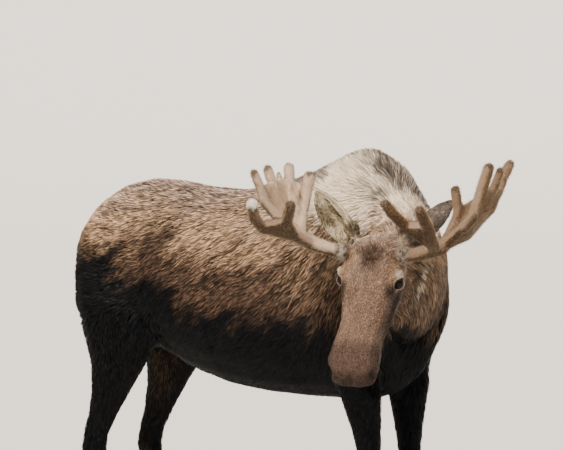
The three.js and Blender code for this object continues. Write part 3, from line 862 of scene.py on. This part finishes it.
class Skin:
    """An even sheet of skin, with the coat that grows at each point."""

    def __init__(self, nodes, voxel, rounds):
        self.points, self.faces = remeshed(nodes, voxel)
        self.pairs = edges(self.faces)
        self.locate(nodes)
        slim = np.isin(self.zone, ["lower_leg", "hoof", "ear"])
        pull = np.where(slim, 0.35, 0.6)  # less on slim parts, which keep their shape
        self.points = rounded(self.points, self.pairs, rounds, pull)
        self.past_seam = np.zeros(len(self.points))
        self.refresh()

    def locate(self, nodes):
        """Finds the CAD node that each point of the skin belongs to."""
        points, triangles, owner = gathered(nodes)
        tree = BVHTree.FromPolygons(points.tolist(), triangles.tolist())
        closest = [tree.find_nearest(point)[2] for point in self.points.tolist()]
        self.node = np.array(nodes)[owner[closest]]
        self.zone = np.array([zone_of(node) for node in nodes])[owner[closest]]

    def refresh(self):
        self.normals = normals(self.points, self.faces)

    def keep(self, wanted):
        """Drops every point that isn't wanted."""
        used, self.faces = kept(self.points, self.faces, wanted)
        for name in ("points", "node", "zone", "past_seam"):
            setattr(self, name, getattr(self, name)[used])
        self.pairs = edges(self.faces)
        self.refresh()

    def trim(self, away):
        """Drops what lies too far past the seam."""
        near = point_tree(self.points[~away])
        self.past_seam[away] = [near.find(point)[2] / MM for point in self.points[away].tolist()]
        self.keep(self.past_seam <= SEAM_OVERLAP)

    def grow(self, coat, flow, rounds):
        """Sets the size and the lie of the coat at each point, with soft changes between stretches."""
        self.length, self.width, self.depth, self.density = averaged(coat, self.pairs, rounds).T
        self.lay(averaged(unit(flow), self.pairs, rounds))

    def lay(self, flow):
        """Keeps only the part of the flow that lies along the skin."""
        flow = flow - (flow * self.normals).sum(1, keepdims=True) * self.normals
        self.flow = unit(flow)

    def sink(self):
        """Moves the skin in by the depth of the coat."""
        self.points = self.points - self.normals * (self.depth * MM)[:, None]
        self.points = averaged(self.points, self.pairs, rounds=2, pull=0.3)
        self.refresh()
        self.lay(self.flow)


def coat_by_zone(skin):
    """The row of COATS for each point of the skin."""
    table = np.array([COATS[zone] for zone in COATS], float)
    order = {zone: i for i, zone in enumerate(COATS)}
    return table[[order[zone] for zone in skin.zone]]


def body_coat(skin):
    """Longest on the hump and under the neck, and short under the belly."""
    _, back, up = inside(BODY, skin.points).T
    coat = coat_by_zone(skin)
    flesh = np.isin(skin.zone, ["trunk", "neck"])
    mane = flesh * step(1620, 1820, up) * step(120, -260, back)
    breast = flesh * step(-380, -540, back) * step(1480, 1250, up)
    belly = flesh * step(1010, 900, up)
    coat[:, LENGTH] += 16 * mane + 30 * breast - 14 * belly
    coat[:, WIDTH] -= 1.5 * mane
    coat[:, DEPTH] += 7 * mane + 4 * breast - 6 * belly
    coat[:, DENSITY] += 9000 * mane
    return coat


NECK_FLOW = (0.9, 0.2, -0.45)  # the lie of the coat behind the jaw, in the world


def body_flow(skin):
    """The lie of the coat on trunk, neck, legs and tail: back and down, and straight down the legs."""
    x, back, up = inside(BODY, skin.points).T
    steeper, flatter = 26 * step(-60, -420, back), 24 * step(500, 850, back)
    fall = np.radians(38 + steeper - flatter - 20 * step(1600, 1760, up))
    flow = np.stack([np.zeros_like(back), np.cos(fall), -np.sin(fall)], axis=1)
    along = step(-560, -20, x)[:, None]
    neck = (1 - along) * np.array(NECK_FLOW) + along * np.array([0.25, 0.72, -0.68])
    flow = np.where((skin.zone == "neck")[:, None], neck, flow)
    top = (step(0.3, 0.75, skin.normals[:, 2]) * step(-60, -300, back))[:, None]
    flow = unit(flow) + top * (np.array([0.55, 0.75, 0.3]) - unit(flow))
    legs = np.isin(skin.zone, ["upper_leg", "lower_leg", "hoof"])
    flow = np.where(legs[:, None], np.array([0, 0.15, -1]), flow)
    return np.where(np.isin(skin.zone, ["bell", "tail"])[:, None], np.array([0, 0.05, -1]), flow)


def from_eye(points):
    """For points in the head's frame: the direction away from the eye, and how near they are to it."""
    eye = np.tile(np.array(EYE_PLACE, float), (len(points), 1))
    eye[:, 0] *= np.sign(points[:, 0])
    away = points - eye
    return unit(away), step(60, 34, np.linalg.norm(away, axis=1))


def at_ear_root(points):
    """How near points are to where an ear grows out of the head."""
    x, back, up = inside(HEAD, points).T
    return spot(np.stack([np.abs(x), back, up], axis=1), (114, 188, 76), (50, 54, 50))


def from_nape(points):
    """How far points of the head lie in front of the plane where it joins the neck."""
    return (inside(HEAD, points) - np.array([0, 225, 60])) @ np.array([0, -0.88, 0.475])


def head_coat(skin):
    """Very short on the nose and longer on cheeks, jaw and nape, where it meets the neck's."""
    x, back, up = inside(HEAD, skin.points).T
    coat = coat_by_zone(skin)
    face = skin.zone == "head"
    jaw = face * step(-60, -130, up) * step(-330, -200, back)
    brow = face * step(40, 110, back) * step(20, 60, up)
    nose = face * step(-120, -400, back)
    coat[:, LENGTH] += 16 * jaw + 8 * brow - 6 * nose
    coat[:, WIDTH] += 0.8 * jaw - 0.5 * nose
    coat[:, DEPTH] += 4 * jaw + 2 * brow - 2 * nose
    coat[:, DENSITY] += 15000 * nose - 15000 * jaw
    coat[:, LENGTH] -= 4 * face * from_eye(np.stack([x, back, up], axis=1))[1]
    at_nape = face * step(90, 0, from_nape(skin.points))
    coat += at_nape[:, None] * (np.array(COATS["neck"]) - coat)
    for side in SIDES:
        run, front, _ = ear_places(skin, side)
        fringe = (skin.node == f"ear_{side}") * step(0.6, 0.25, np.abs(front - 0.1)) * step(1.0, 0.7, run)
        coat[:, LENGTH] += 20 * fringe
    return coat


WHORL_BACK = 112  # how far the whorl lies behind the line between the eyes


def head_flow(skin):
    """The lie of the coat on the head: from the nose up to the whorl, then back and down."""
    x, back, up = inside(HEAD, skin.points).T
    out = np.sign(x) * step(0, 90, np.abs(x))
    flow = np.stack([0.25 * out, np.ones_like(back), -0.5 * step(20, -90, up)], axis=1)
    behind = step(80, 130, back)[:, None]
    around = step(60, 10, np.hypot(x, back - WHORL_BACK)) * step(20, 50, up)
    flow += behind * np.stack([0.9 * out, np.zeros_like(back), np.full_like(back, -0.3)], axis=1)
    flow += around[:, None] * np.stack([-(back - WHORL_BACK) / 25, x / 25, 0 * x], axis=1)
    away, eye = from_eye(np.stack([x, back, up], axis=1))
    flow += 1.6 * eye[:, None] * away
    flow = turned(HEAD, flow)
    for side in SIDES:
        mine = (skin.node == f"ear_{side}")[:, None]
        _, front, across = ear_places(skin, side)
        _, along, sideways, _ = ear_frame(side)
        inward = -0.35 * np.sign(across)[:, None] * sideways * step(0.0, 0.4, front)[:, None]
        flow = np.where(mine, along + inward, flow)
        root = at_ear_root(skin.points)[:, None] * (np.sign(x) == SIDES[side])[:, None]
        flow = unit(flow) + 0.9 * root * (along - unit(flow))
    neck = np.array(NECK_FLOW)
    nape = step(110, 10, from_nape(skin.points))[:, None] * (skin.zone == "head")[:, None]
    flow = unit(flow) + nape * (neck - unit(flow))
    return np.where((skin.zone == "neck")[:, None], neck, flow)


# ---- Locks of hair -------------------------------------------------------------------------------

PATCH = 0.003  # size of a lock's own patch on the unwrap
# A lock is a thin blade, or for long hair a little roof. Each corner: which row it is in, how far to the
# side and how high it stands, in widths. The rows are root, bend and point.
BLADE = {
    "corners": [(0, -0.5, 0), (0, 0.5, 0), (1, -0.45, 0), (1, 0.45, 0), (2, 0, 0)],
    "faces": [(0, 1, 3), (0, 3, 2), (2, 3, 4)],
}
ROOF = {
    "corners": [(0, -0.4, 0), (0, 0, 0.3), (0, 0.4, 0), (1, -0.5, 0), (1, 0, 0.3), (1, 0.5, 0), (2, 0, 0)],
    "faces": [(0, 1, 4), (0, 4, 3), (1, 2, 5), (1, 5, 4), (3, 4, 6), (4, 5, 6)],
}
ROW_RUN = np.array([0, 0.55, 1])  # how far along the lock each row is
ROW_LIFT = np.array([-0.08, 0.66, 0.9])  # and how high, in depths of the coat


def nearest(tree, points):
    """The number of the tree's point that is nearest to each point."""
    return np.array([tree.find(point)[1] for point in points.tolist()])


def point_tree(points):
    tree = KDTree(len(points))
    for number, point in enumerate(points.tolist()):
        tree.insert(point, number)
    tree.balance()
    return tree


def scatter(skin, allowed):
    """Picks a root for each lock on the allowed points' triangles, and more where the coat is dense."""
    halves = np.concatenate([skin.faces[:, [0, 1, 2]], skin.faces[:, [0, 2, 3]]])
    halves = halves[allowed[halves].all(1)]
    a, b, c = (skin.points[halves[:, i]] for i in range(3))
    area = np.linalg.norm(np.cross(b - a, c - a), axis=1) / 2
    wanted = np.cumsum(area * skin.density[halves].mean(1))
    count = int(wanted[-1])
    picked = halves[np.searchsorted(wanted, RANDOM.random(count) * wanted[-1])]
    u, v = RANDOM.random((2, count))
    u, v = np.where(u + v > 1, 1 - u, u), np.where(u + v > 1, 1 - v, v)
    share = np.stack([1 - u - v, u, v], axis=1)

    def at(values):
        if values.ndim == 1:
            return (values[picked] * share).sum(1)
        return (values[picked] * share[:, :, None]).sum(1)

    return at


def lock_rows(skin, root, normal, flow, length, height):
    """The middles of each lock's root, bend and point, which follow the skin at heights of their own."""
    rows = []
    for run, lift in zip(ROW_RUN, ROW_LIFT):
        centre, facing = root + flow * (length * run)[:, None], normal
        if run:
            close_by = nearest(skin.tree, centre)
            facing = skin.normals[close_by]
            centre = centre - facing * ((centre - skin.points[close_by]) * facing).sum(1, keepdims=True)
        rows.append(centre + facing * (height * lift)[:, None])
    return rows


def lock_colours(skin, at, places, flow, rank, run, contrast):
    """A colour for each corner of each lock: paler towards the point, and darker where locks lie deep,
    partly as bleached outer hair and partly as painted shade between the locks.

    Neighbours have like tones, so that the coat shows clumps. Pale hair has less contrast than dark."""
    count = len(places)
    fine, broad = streaks(places, flow, 17, 30, seed=7), streaks(places, flow, 60, 80, seed=8)
    contrast = contrast * np.maximum(1 - 1.5 * at(skin.colours[1]).mean(1) ** 2.2, 0.15)
    # Lower locks are darker: partly bleached outer hair, partly painted shade between the locks.
    bleach_and_deep_shade = 1.8 * (rank**5 - 0.62)
    tone = np.exp(contrast * (bleach_and_deep_shade + 0.45 * fine + 0.3 * broad + RANDOM.normal(0, 0.42, count)))
    tone = np.clip(tone, 0.12, 1.7)
    paleness = np.clip(0.5 + 0.4 * fine + RANDOM.normal(0, 0.25, count), 0, 1)
    first, last = (at(layer)[:, None] for layer in skin.colours)
    share = run[None, :, None] ** (2.0 - 1.5 * paleness)[:, None, None]
    return ((first + share * (last - first)) * tone[:, None, None]).reshape(-1, 3)


def locks(name, skin, allowed, unwrap, material, shape=BLADE, contrast=1.0, stray=1.0):
    """Grows one piece of coat, whose locks bend along the skin and gather in wavy clumps.

    Contrast scales how the locks' tones differ, and stray how far they turn from the lie of the coat."""
    at = scatter(skin, allowed)
    root, normal, flow = at(skin.points), unit(at(skin.normals)), at(skin.flow)
    count = len(root)
    places = inside(BODY, root)
    wave = 0.5 * noise(places, 70, seed=5) + 0.42 * noise(places, 26, seed=6)
    wave += RANDOM.normal(0, 0.17, count)
    flow = unit(flow + np.cross(normal, flow) * (wave * 0.62 * stray)[:, None])
    rank = RANDOM.random(count)  # 0 for the lowest and thinnest lock, 1 for the highest and widest
    length = at(skin.length) * MM * RANDOM.uniform(0.7, 1.25, count)
    width = at(skin.width) * MM * (0.65 + 0.75 * rank**4) * RANDOM.uniform(0.8, 1.15, count)
    height = at(skin.depth) * MM * (0.5 + 0.6 * rank)
    rows = lock_rows(skin, root, normal, flow, length, height)
    side = unit(np.cross(normal, flow))
    roll = RANDOM.normal(0, 0.35, count)[:, None]
    upright = normal * np.cos(roll) - side * np.sin(roll)
    side = side * np.cos(roll) + normal * np.sin(roll)
    corners = [
        rows[row] + side * (width * across)[:, None] + upright * (width * high)[:, None]
        for row, across, high in shape["corners"]
    ]
    points = np.stack(corners, axis=1).reshape(-1, 3)
    first_corner = np.arange(count)[:, None, None] * len(corners)
    faces = (first_corner + np.array(shape["faces"])[None]).reshape(-1, 3)
    piece = show(name, points, faces, material)

    run = ROW_RUN[[row for row, _, _ in shape["corners"]]]
    tint(piece, lock_colours(skin, at, places, flow, rank, run, contrast))
    across = np.array([across for _, across, _ in shape["corners"]])
    patch = np.stack([across, run - 0.5], axis=1) * PATCH
    uv = (unwrap(root)[:, None] + patch[None]).reshape(-1, 2)
    layer = piece.data.uv_layers.new(name="OFBake")
    layer.data.foreach_set("uv", uv[faces.ravel()].astype(np.float32).ravel())
    finish_piece(piece)


def tube_unwrap(start, end, seam):
    """Unrolls what lies round a line: the angle from the seam goes across the map, and the run up it."""
    axis = unit(np.array(end, float) - np.array(start, float))
    seam = np.array(seam, float)
    seam = unit(seam - (seam @ axis) * axis)
    other = np.cross(axis, seam)

    def unwrap(points):
        away = points - np.array(start, float)
        uv = np.stack([np.arctan2(away @ other, away @ seam), away @ axis], axis=1)
        low, high = uv.min(0), uv.max(0)
        return 0.01 + 0.98 * (uv - low) / np.maximum(high - low, 1e-9)

    return unwrap


# ---- Skin and coat of the animal -----------------------------------------------------------------

BODY_UNDERFUR, HEAD_UNDERFUR = 0.25, 0.6  # the skin's shade, from the hair's root colour to its end's
LID_RIM = "#b3978a"
LEG_TOP = 1.2  # metres above the floor
hair = guard_hair()


def body_skin():
    """Trunk, neck, legs and tail, with some of the head beyond the seam behind the jaw."""
    body = Skin(BODY_NODES + HOOF_NODES, voxel=13, rounds=14)
    body.trim(body.zone == "head")
    body.keep(body.points[:, 2] > HORN_TOP * MM)
    hump = spot(inside(BODY, body.points), (-20, -380, 1900), (220, 280, 150))
    body.points = body.points + body.normals * (HUMP_TUFT * MM * hump)[:, None]
    body.grow(body_coat(body), body_flow(body), rounds=14)
    body.sink()
    body.colours = main_colours(body, 0 * body.depth)
    body.bare, body.rims = np.zeros((2, len(body.points)))
    return body


def head_skin():
    """Head and ears in finer detail, with some of the neck beyond the seam."""
    head = Skin(HEAD_NODES, voxel=4.6, rounds=16)
    head.trim(head.zone == "neck")
    head.points = head.points + head.normals * (EAR_ROOT_BULGE * MM * at_ear_root(head.points))[:, None]
    head.points = outside(HEAD, sculpted(inside(HEAD, head.points)))
    head.refresh()
    head.grow(head_coat(head), head_flow(head), rounds=8)
    head.sink()
    places, lids, head.rims = lidded(inside(HEAD, head.points))
    head.points = outside(HEAD, places)
    head.refresh()
    head.lay(head.flow)
    head.colours = main_colours(head, 1 - step(5, 40, head.past_seam))
    return head, lids


def tuck(skin):
    """Draws the part beyond the seam in under the other half, and readies the skin for its coat."""
    tucked = step(15, SEAM_OVERLAP, skin.past_seam) * 8 * MM
    skin.points = skin.points - skin.normals * tucked[:, None]
    skin.tree = point_tree(skin.points)


def nostrils(skin):
    """How bare the skin is at and in the nostrils."""
    places = inside(HEAD, skin.points)
    places[:, 0] = np.abs(places[:, 0] - swing(places[:, 1]))
    return np.clip(1.3 * spot(places, (82, -430, -58), (22, 22, 15)) - 0.15, 0, 1)


def show_skin(body, head):
    """Joins both halves in one piece that stands in for all the flesh."""
    points = np.concatenate([body.points, head.points])
    faces = np.concatenate([body.faces, head.faces + len(body.points)])
    piece = show("skin", points, faces, moose_hide())
    root, end = (np.concatenate(pair) for pair in zip(body.colours, head.colours))
    shade = np.concatenate([BODY_UNDERFUR + 0 * body.depth, HEAD_UNDERFUR + 0 * head.depth])
    colours = root + shade[:, None] * (end - root)
    bare = np.concatenate([body.bare, head.bare])
    # Bare skin is dark leather; in the nostrils it also stands for painted shade.
    colours += bare[:, None] * (linear(COAT_COLOURS["leather"][1]) - colours)
    rims = np.concatenate([body.rims, head.rims])
    colours += 0.8 * rims[:, None] * (linear(LID_RIM) - colours)
    tint(piece, colours)
    mark(piece, "bare", bare)
    finish_piece(piece, FLESH_NODES)


def trunk_coat(body):
    """The trunk's coat, in four pieces."""
    places = inside(BODY, body.points)
    axis = [outside(BODY, (0, -800, 1330)), outside(BODY, (0, 1100, 1330))]
    on_side = {"right": places[:, 0] < 0, "left": places[:, 0] >= 0}
    at_end = {"fore": places[:, 1] < 200, "hind": places[:, 1] >= 200}
    for side, end in product(on_side, at_end):
        unwrap = tube_unwrap(*axis, seam=(-SIDES[side], 0, 0))
        allowed = (body.zone == "trunk") & on_side[side] & at_end[end]
        locks(f"coat_trunk_{side}_{end}", body, allowed, unwrap, hair, stray=0.8)


def neck_coat(body):
    """The neck's long hair, which hides the seam behind the jaw."""
    axis = [outside(BODY, (-560, -815, 1450)), outside(BODY, (-60, -560, 1450))]
    unwrap = tube_unwrap(*axis, seam=(0, 0, -1))
    allowed = (body.zone == "neck") & (body.past_seam < COAT_PAST_SEAM)
    locks("coat_neck", body, allowed, unwrap, hair, ROOF, stray=0.7)


def hanging_coat(body, zone):
    """The long hair of the bell or the tail."""
    low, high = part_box(zone)
    centre = middle(zone)
    unwrap = tube_unwrap((centre.x, centre.y, high.z), (centre.x, centre.y, low.z), seam=(0, 1, 0))
    locks(f"coat_{zone}", body, body.zone == zone, unwrap, hair, ROOF)


def leg_coat(body, leg):
    """One leg's coat, from the elbow or the thigh down over the top of the hoof."""
    centre = middle(f"lower_leg_{leg}")
    unwrap = tube_unwrap((centre.x, centre.y, LEG_TOP), (centre.x, centre.y, 0), seam=(0, 1, 0))
    mine = np.isin(body.node, [f"upper_leg_{leg}", f"lower_leg_{leg}", f"hoof_{leg}"])
    locks(f"coat_leg_{leg}", body, mine, unwrap, hair)


def head_coat_piece(head):
    """The head's short coat, clear of nostrils and lids."""
    axis = [outside(HEAD, (0, 260, -40)), outside(HEAD, (0, -480, -40))]
    unwrap = tube_unwrap(*axis, seam=turned(HEAD, (0, 0, -1)))
    clear = (head.zone == "head") & (head.past_seam < COAT_PAST_SEAM) & (head.bare < 0.2)
    locks("coat_head", head, clear, unwrap, hair, contrast=0.55, stray=0.6)


def ear_coat(head, side):
    """One ear's coat, inside and out."""
    base, along, _, facing = ear_frame(side)
    unwrap = tube_unwrap(base, base + along, seam=-facing)
    locks(f"coat_ear_{side}", head, head.node == f"ear_{side}", unwrap, hair, contrast=0.9)


body = body_skin()
head, bare_lids = head_skin()
tuck(body)
tuck(head)
head.bare = np.maximum(bare_lids, nostrils(head))
show_skin(body, head)
trunk_coat(body)
neck_coat(body)
hanging_coat(body, "bell")
hanging_coat(body, "tail")
for leg in LEGS:
    leg_coat(body, leg)
head_coat_piece(head)
for side in SIDES:
    ear_coat(head, side)


# ---- Antlers -------------------------------------------------------------------------------------

BURR = (114, 26, 118)  # middle of the left antler's base, in the crown's frame
WORN_TIP = (-342, -470, 338)  # where the velvet is rubbed off one brow tine, in the crown's frame
VELVET_THICKNESS = 1.6
VELVET_PILE = {"length": 4.5, "width": 1.0, "depth": 7.5, "density": 105000.0}  # as in COATS
# Painted light: the open face of each antler is paler where it turns forward and up towards the light.
OPEN_FACE_LIGHT = {"right": (0.4, 1.0), "left": (0.5, 0.2)}  # how pale the open face is, ahead and behind
PALE_PILE_END = "#f3dfc2"
velvet = antler_velvet()


def antler_nodes(side):
    return [f"antler_{side}_{part}" for part in ("beam", "brow", "palm")]


class Velvet:
    """An antler's skin, with the short pile that grows on it."""

    def __init__(self, side):
        self.points, self.faces = remeshed(antler_nodes(side), 4)
        self.pairs = edges(self.faces)
        self.points = averaged(self.points, self.pairs, rounds=22)
        self.normals = normals(self.points, self.faces)
        ridge, tip = self.standing_out(14), self.standing_out(60)
        self.points = self.points + self.normals * VELVET_THICKNESS * MM
        places = inside(CROWN, self.points)
        burr = np.array(BURR) * (SIDES[side], 1, 1)
        away = np.linalg.norm(places - burr, axis=1)
        flow = turned(CROWN, unit(places - burr))
        self.flow = unit(flow - (flow * self.normals).sum(1, keepdims=True) * self.normals)
        near_burr = step(60, 40, away + 9 * noise(places, 14, seed=25))
        veins = streaks(places, inside_turn(CROWN, self.flow), 9, 30, seed=24)
        bumps = near_burr * (3 + 3 * noise(places, 11, seed=21) + 3 * noise(places, 6, seed=22))
        bumps += (1 - near_burr) * (0.7 * noise(places, 18, seed=23) + 0.9 * veins)
        self.points = self.points + self.normals * (bumps * MM)[:, None]
        self.normals = normals(self.points, self.faces)
        self.tree = point_tree(self.points)
        for name, value in VELVET_PILE.items():
            setattr(self, name, np.full(len(self.points), value))
        self.paint(places, veins, near_burr, ridge, tip, bumps, side)

    def standing_out(self, rounds):
        """How far each point stands out of the form that so many rounds of smoothing leave."""
        smoothed = averaged(self.points, self.pairs, rounds)
        return -((smoothed - self.points) * self.normals).sum(1) / MM

    def paint(self, places, veins, near_burr, ridge, tip, bumps, side):
        """Brown velvet, with painted light on the open face of the palm, a painted highlight along every
        rim, and painted shade below.
        """
        facing = self.normals @ turned(CROWN, unit(np.array([-0.5 * SIDES[side], -0.75, 0.45])))
        clouds = noise(places, 45, seed=31) + 0.6 * veins
        face_light = np.interp(places[:, 1], (-160, 20), OPEN_FACE_LIGHT[side])
        worn = np.linalg.norm(places - np.array(WORN_TIP), axis=1)
        weights = {  # the pile's root and end colours, each laid over those before it
            ("#2c1b10", "#71502f"): np.ones(len(places)),
            # Painted light on the face that turns forward and up.
            ("#866a55", "#e4cbb2"): step(-0.2, 0.9, facing + 0.3 * clouds) * face_light,
            # Painted shade on the underside.
            ("#150d07", "#3c2717"): 0.85 * step(0.0, -0.7, self.normals[:, 2] + 0.15 * clouds),
            # Painted highlight along the rims.
            ("#8a6d50", "#e6d0b2"): 0.5 * step(1.0, 2.6, ridge) * step(5, 4, tip),
            ("#18100b", "#4a3628"): 0.85 * step(4, 5.2, tip + 0.5 * clouds),
            ("#3f3832", "#968a80"): 0.8 * near_burr,
            # Painted shade between the bumps at the burr.
            ("#14100d", "#3f3630"): 0.85 * near_burr * step(0.1, -0.5, bumps / 3 - 1),
            ("#b9b0a3", "#f2ece0"): step(50, 34, worn + 12 * noise(places, 13, seed=33)),
        }
        self.colours = [np.zeros((len(places), 3)), np.zeros((len(places), 3))]
        for pair, weight in weights.items():
            for layer, end in zip(self.colours, pair):
                layer += weight[:, None] * (linear(end) - layer)


for side in SIDES:
    antler = Velvet(side)
    piece = show(f"antler_{side}", antler.points, antler.faces, velvet)
    tint(piece, antler.colours[0] + 0.6 * (antler.colours[1] - antler.colours[0]))
    finish_piece(piece, antler_nodes(side))
    start = outside(CROWN, np.array(BURR) * (SIDES[side], 1, 1))
    unwrap = tube_unwrap(start, start + turned(CROWN, (SIDES[side], 0, 0.8)), seam=(0, 0, -1))
    everywhere = np.ones(len(antler.points), bool)
    pile_end = antler.colours[1]
    antler.colours = [pile_end, pile_end + 0.6 * (linear(PALE_PILE_END) - pile_end)]
    locks(f"velvet_pile_{side}", antler, everywhere, unwrap, velvet, contrast=0.4)


# ---- Eyes, hooves and dewclaws -------------------------------------------------------------------

EYE_RIM, IRIS, PUPIL = "#3a2c26", "#150b06", "#030202"
PUPIL_SIZE = (9.5, 5.5)  # half its length and half its height
eye_material = wet_eye()
horn = hoof_horn()


def globe(radius, rings, around):
    """A ball of evenly spaced rings about +Z, as points and square faces."""
    down = np.linspace(0.02, math.pi - 0.02, rings)
    turn = np.arange(around) * 2 * math.pi / around
    down, turn = np.meshgrid(down, turn, indexing="ij")
    points = np.stack([np.sin(down) * np.cos(turn), np.sin(down) * np.sin(turn), np.cos(down)], axis=-1)
    return radius * points.reshape(-1, 3), tube_faces(rings, around)


def tube_faces(rings, around):
    """Square faces between rings of points, each closed on itself."""
    row, column = np.meshgrid(np.arange(rings - 1), np.arange(around), indexing="ij")
    here, beside = row * around + column, row * around + (column + 1) % around
    return np.stack([here, here + around, beside + around, beside], axis=-1).reshape(-1, 4)


def eyeball(side):
    """One eye, with a pupil that is longer than it is high."""
    centre, out, slit, _ = eye_frame(SIDES[side])
    ball, faces = globe(EYE_RADIUS, rings=60, around=72)
    frame_turn = np.stack([slit, np.cross(out, slit), out])
    piece = show(f"eyeball_{side}", outside(HEAD, ball @ frame_turn + centre), faces, eye_material)
    iris = step(17.2, 15.8, np.hypot(ball[:, 0], ball[:, 1]))[:, None]
    from_pupil = np.hypot(ball[:, 0] / PUPIL_SIZE[0], ball[:, 1] / PUPIL_SIZE[1])
    pupil = (step(1.15, 0.9, from_pupil) * (ball[:, 2] > 0))[:, None]
    colours = linear(EYE_RIM) + iris * (linear(IRIS) - linear(EYE_RIM))
    colours = colours + pupil * (linear(PUPIL) - colours)
    tint(piece, colours)
    finish_piece(piece, [f"eye_{side}"])


for side in SIDES:
    eyeball(side)

# A dewclaw's rings from the top down: height, how far back, half width.
CLAW = ((140, 38, 12), (120, 50, 14), (100, 62, 12), (86, 68, 7), (80, 69, 2))
CLAW_CORNERS = 16
CLAW_SPREAD = 25
PASTERN_BACK = 40  # how far the pastern's middle lies behind the hoof's


def dewclaws(hoof_middle):
    """The two small claws behind a pastern, as points and square faces."""
    turn = np.arange(CLAW_CORNERS) * 2 * math.pi / CLAW_CORNERS
    points, faces = [], []
    for across in (-CLAW_SPREAD, CLAW_SPREAD):
        faces.append(tube_faces(len(CLAW), CLAW_CORNERS) + len(points) * CLAW_CORNERS)
        for height, back, half in CLAW:
            sideways, along = across + half * np.cos(turn), back + half * 0.8 * np.sin(turn)
            ring = np.stack([sideways, along, 0 * turn], axis=1)
            foot = np.array([hoof_middle.x, hoof_middle.y + PASTERN_BACK * MM, height * MM])
            points.append(ring * MM + foot)
    return np.concatenate(points), np.concatenate(faces)


def hoof(leg):
    """One cloven hoof with its dewclaws: rounded above its flat sole, and slimmer at the pastern."""
    points, faces = remeshed([f"hoof_{leg}"], 4)
    soft = averaged(points, edges(faces), rounds=26)
    up = points[:, 2] / MM
    points = points + step(4, 22, up)[:, None] * (soft - points)
    points[:, 2] = np.where(up < 3, 0, points[:, 2])
    centre = middle(f"hoof_{leg}")
    waist = 1 - 0.16 * step(40, 76, up)
    points[:, :2] = np.array(centre)[:2] + (points[:, :2] - np.array(centre)[:2]) * waist[:, None]
    claw_points, claw_faces = dewclaws(centre)
    faces = np.concatenate([faces, claw_faces + len(points)])
    piece = show(f"hoof_{leg}_horn", np.concatenate([points, claw_points]), faces, horn)
    finish_piece(piece, [f"hoof_{leg}"])


for leg in LEGS:
    hoof(leg)


# ---- Studio --------------------------------------------------------------------------------------

CAMERA_AZIMUTH = -54  # degrees round the animal; 0 looks at its breast
CAMERA_HEIGHT_ANGLE = 2.5  # degrees above level
CAMERA_DISTANCE = 16
FOCAL_LENGTH = 241
SENSOR_WIDTH = 36
VIEW_DEPTH = 300
AIM = (-52.4, 30.7, 1612)  # where the camera looks, in the body's frame
FLOOR_REACH = 50  # where the flat floor starts to curve up into the wall
FLOOR_RINGS = [0.01, 4, 12, 25]
FLOOR_CORNERS = 96
WALL_HEIGHT = 20


def direction(azimuth, elevation):
    """The direction at angles in degrees: 0, 0 is level and straight ahead of the animal."""
    a, e = math.radians(azimuth), math.radians(elevation)
    return Vector((math.sin(a) * math.cos(e), -math.cos(a) * math.cos(e), math.sin(e)))


def aimed(name, data, place, target):
    """Sets a light or a camera at a place, looking at a target."""
    thing = bpy.data.objects.new(name, data)
    thing.location = place
    thing.rotation_euler = (place - target).to_track_quat("Z", "Y").to_euler()
    bpy.context.scene.collection.objects.link(thing)
    return thing


def soft_sun(name, azimuth, elevation, power, softness, colour):
    """Even light from one direction, as through a wide screen."""
    data = bpy.data.lights.new(name, "SUN")
    data.angle = math.radians(softness)
    data.energy = power
    data.color = linear(colour)
    target = Vector(BODY.translation)
    aimed(name, data, target + direction(azimuth, elevation) * 10, target)


def cove():
    """A round white floor that curves up into its wall, with no edge to see."""
    bend = np.radians(np.linspace(0, 90, 19))
    reach = np.concatenate([FLOOR_RINGS, FLOOR_REACH + WALL_HEIGHT * np.sin(bend)])
    height = np.concatenate([np.zeros(len(FLOOR_RINGS)), WALL_HEIGHT * (1 - np.cos(bend))])
    turn = np.arange(FLOOR_CORNERS) * 2 * math.pi / FLOOR_CORNERS
    rings = [
        np.stack([radius * np.cos(turn), radius * np.sin(turn), rise + 0 * turn], axis=1)
        for radius, rise in zip(reach, height)
    ]
    faces = tube_faces(len(rings), FLOOR_CORNERS)
    floor = show("floor", np.concatenate(rings), faces, studio_floor())


def camera():
    """The camera, with a long lens, nearly level with the animal and ahead of its right shoulder."""
    data = bpy.data.cameras.new("camera")
    data.lens = FOCAL_LENGTH
    data.sensor_width = SENSOR_WIDTH
    data.clip_end = VIEW_DEPTH
    aim = Vector(outside(BODY, AIM))
    place = aim + direction(CAMERA_AZIMUTH, CAMERA_HEIGHT_ANGLE) * CAMERA_DISTANCE
    return aimed("camera", data, place, aim)


def studio_air():
    """Soft, even light from all round."""
    world = bpy.data.worlds.new("studio")
    world.use_nodes = True
    background = world.node_tree.nodes["Background"]
    background.inputs["Color"].default_value = rgba("#f2f1ee")
    background.inputs["Strength"].default_value = 0.62
    return world


bpy.context.scene.camera = camera()
cove()
bpy.context.scene.world = studio_air()
soft_sun("key", azimuth=-88, elevation=52, power=5.6, softness=15, colour="#fff4e6")
soft_sun("rim", azimuth=120, elevation=50, power=1.2, softness=30, colour="#fff4e4")
soft_sun("glint", azimuth=-36, elevation=18, power=0.4, softness=7, colour="#e6efff")
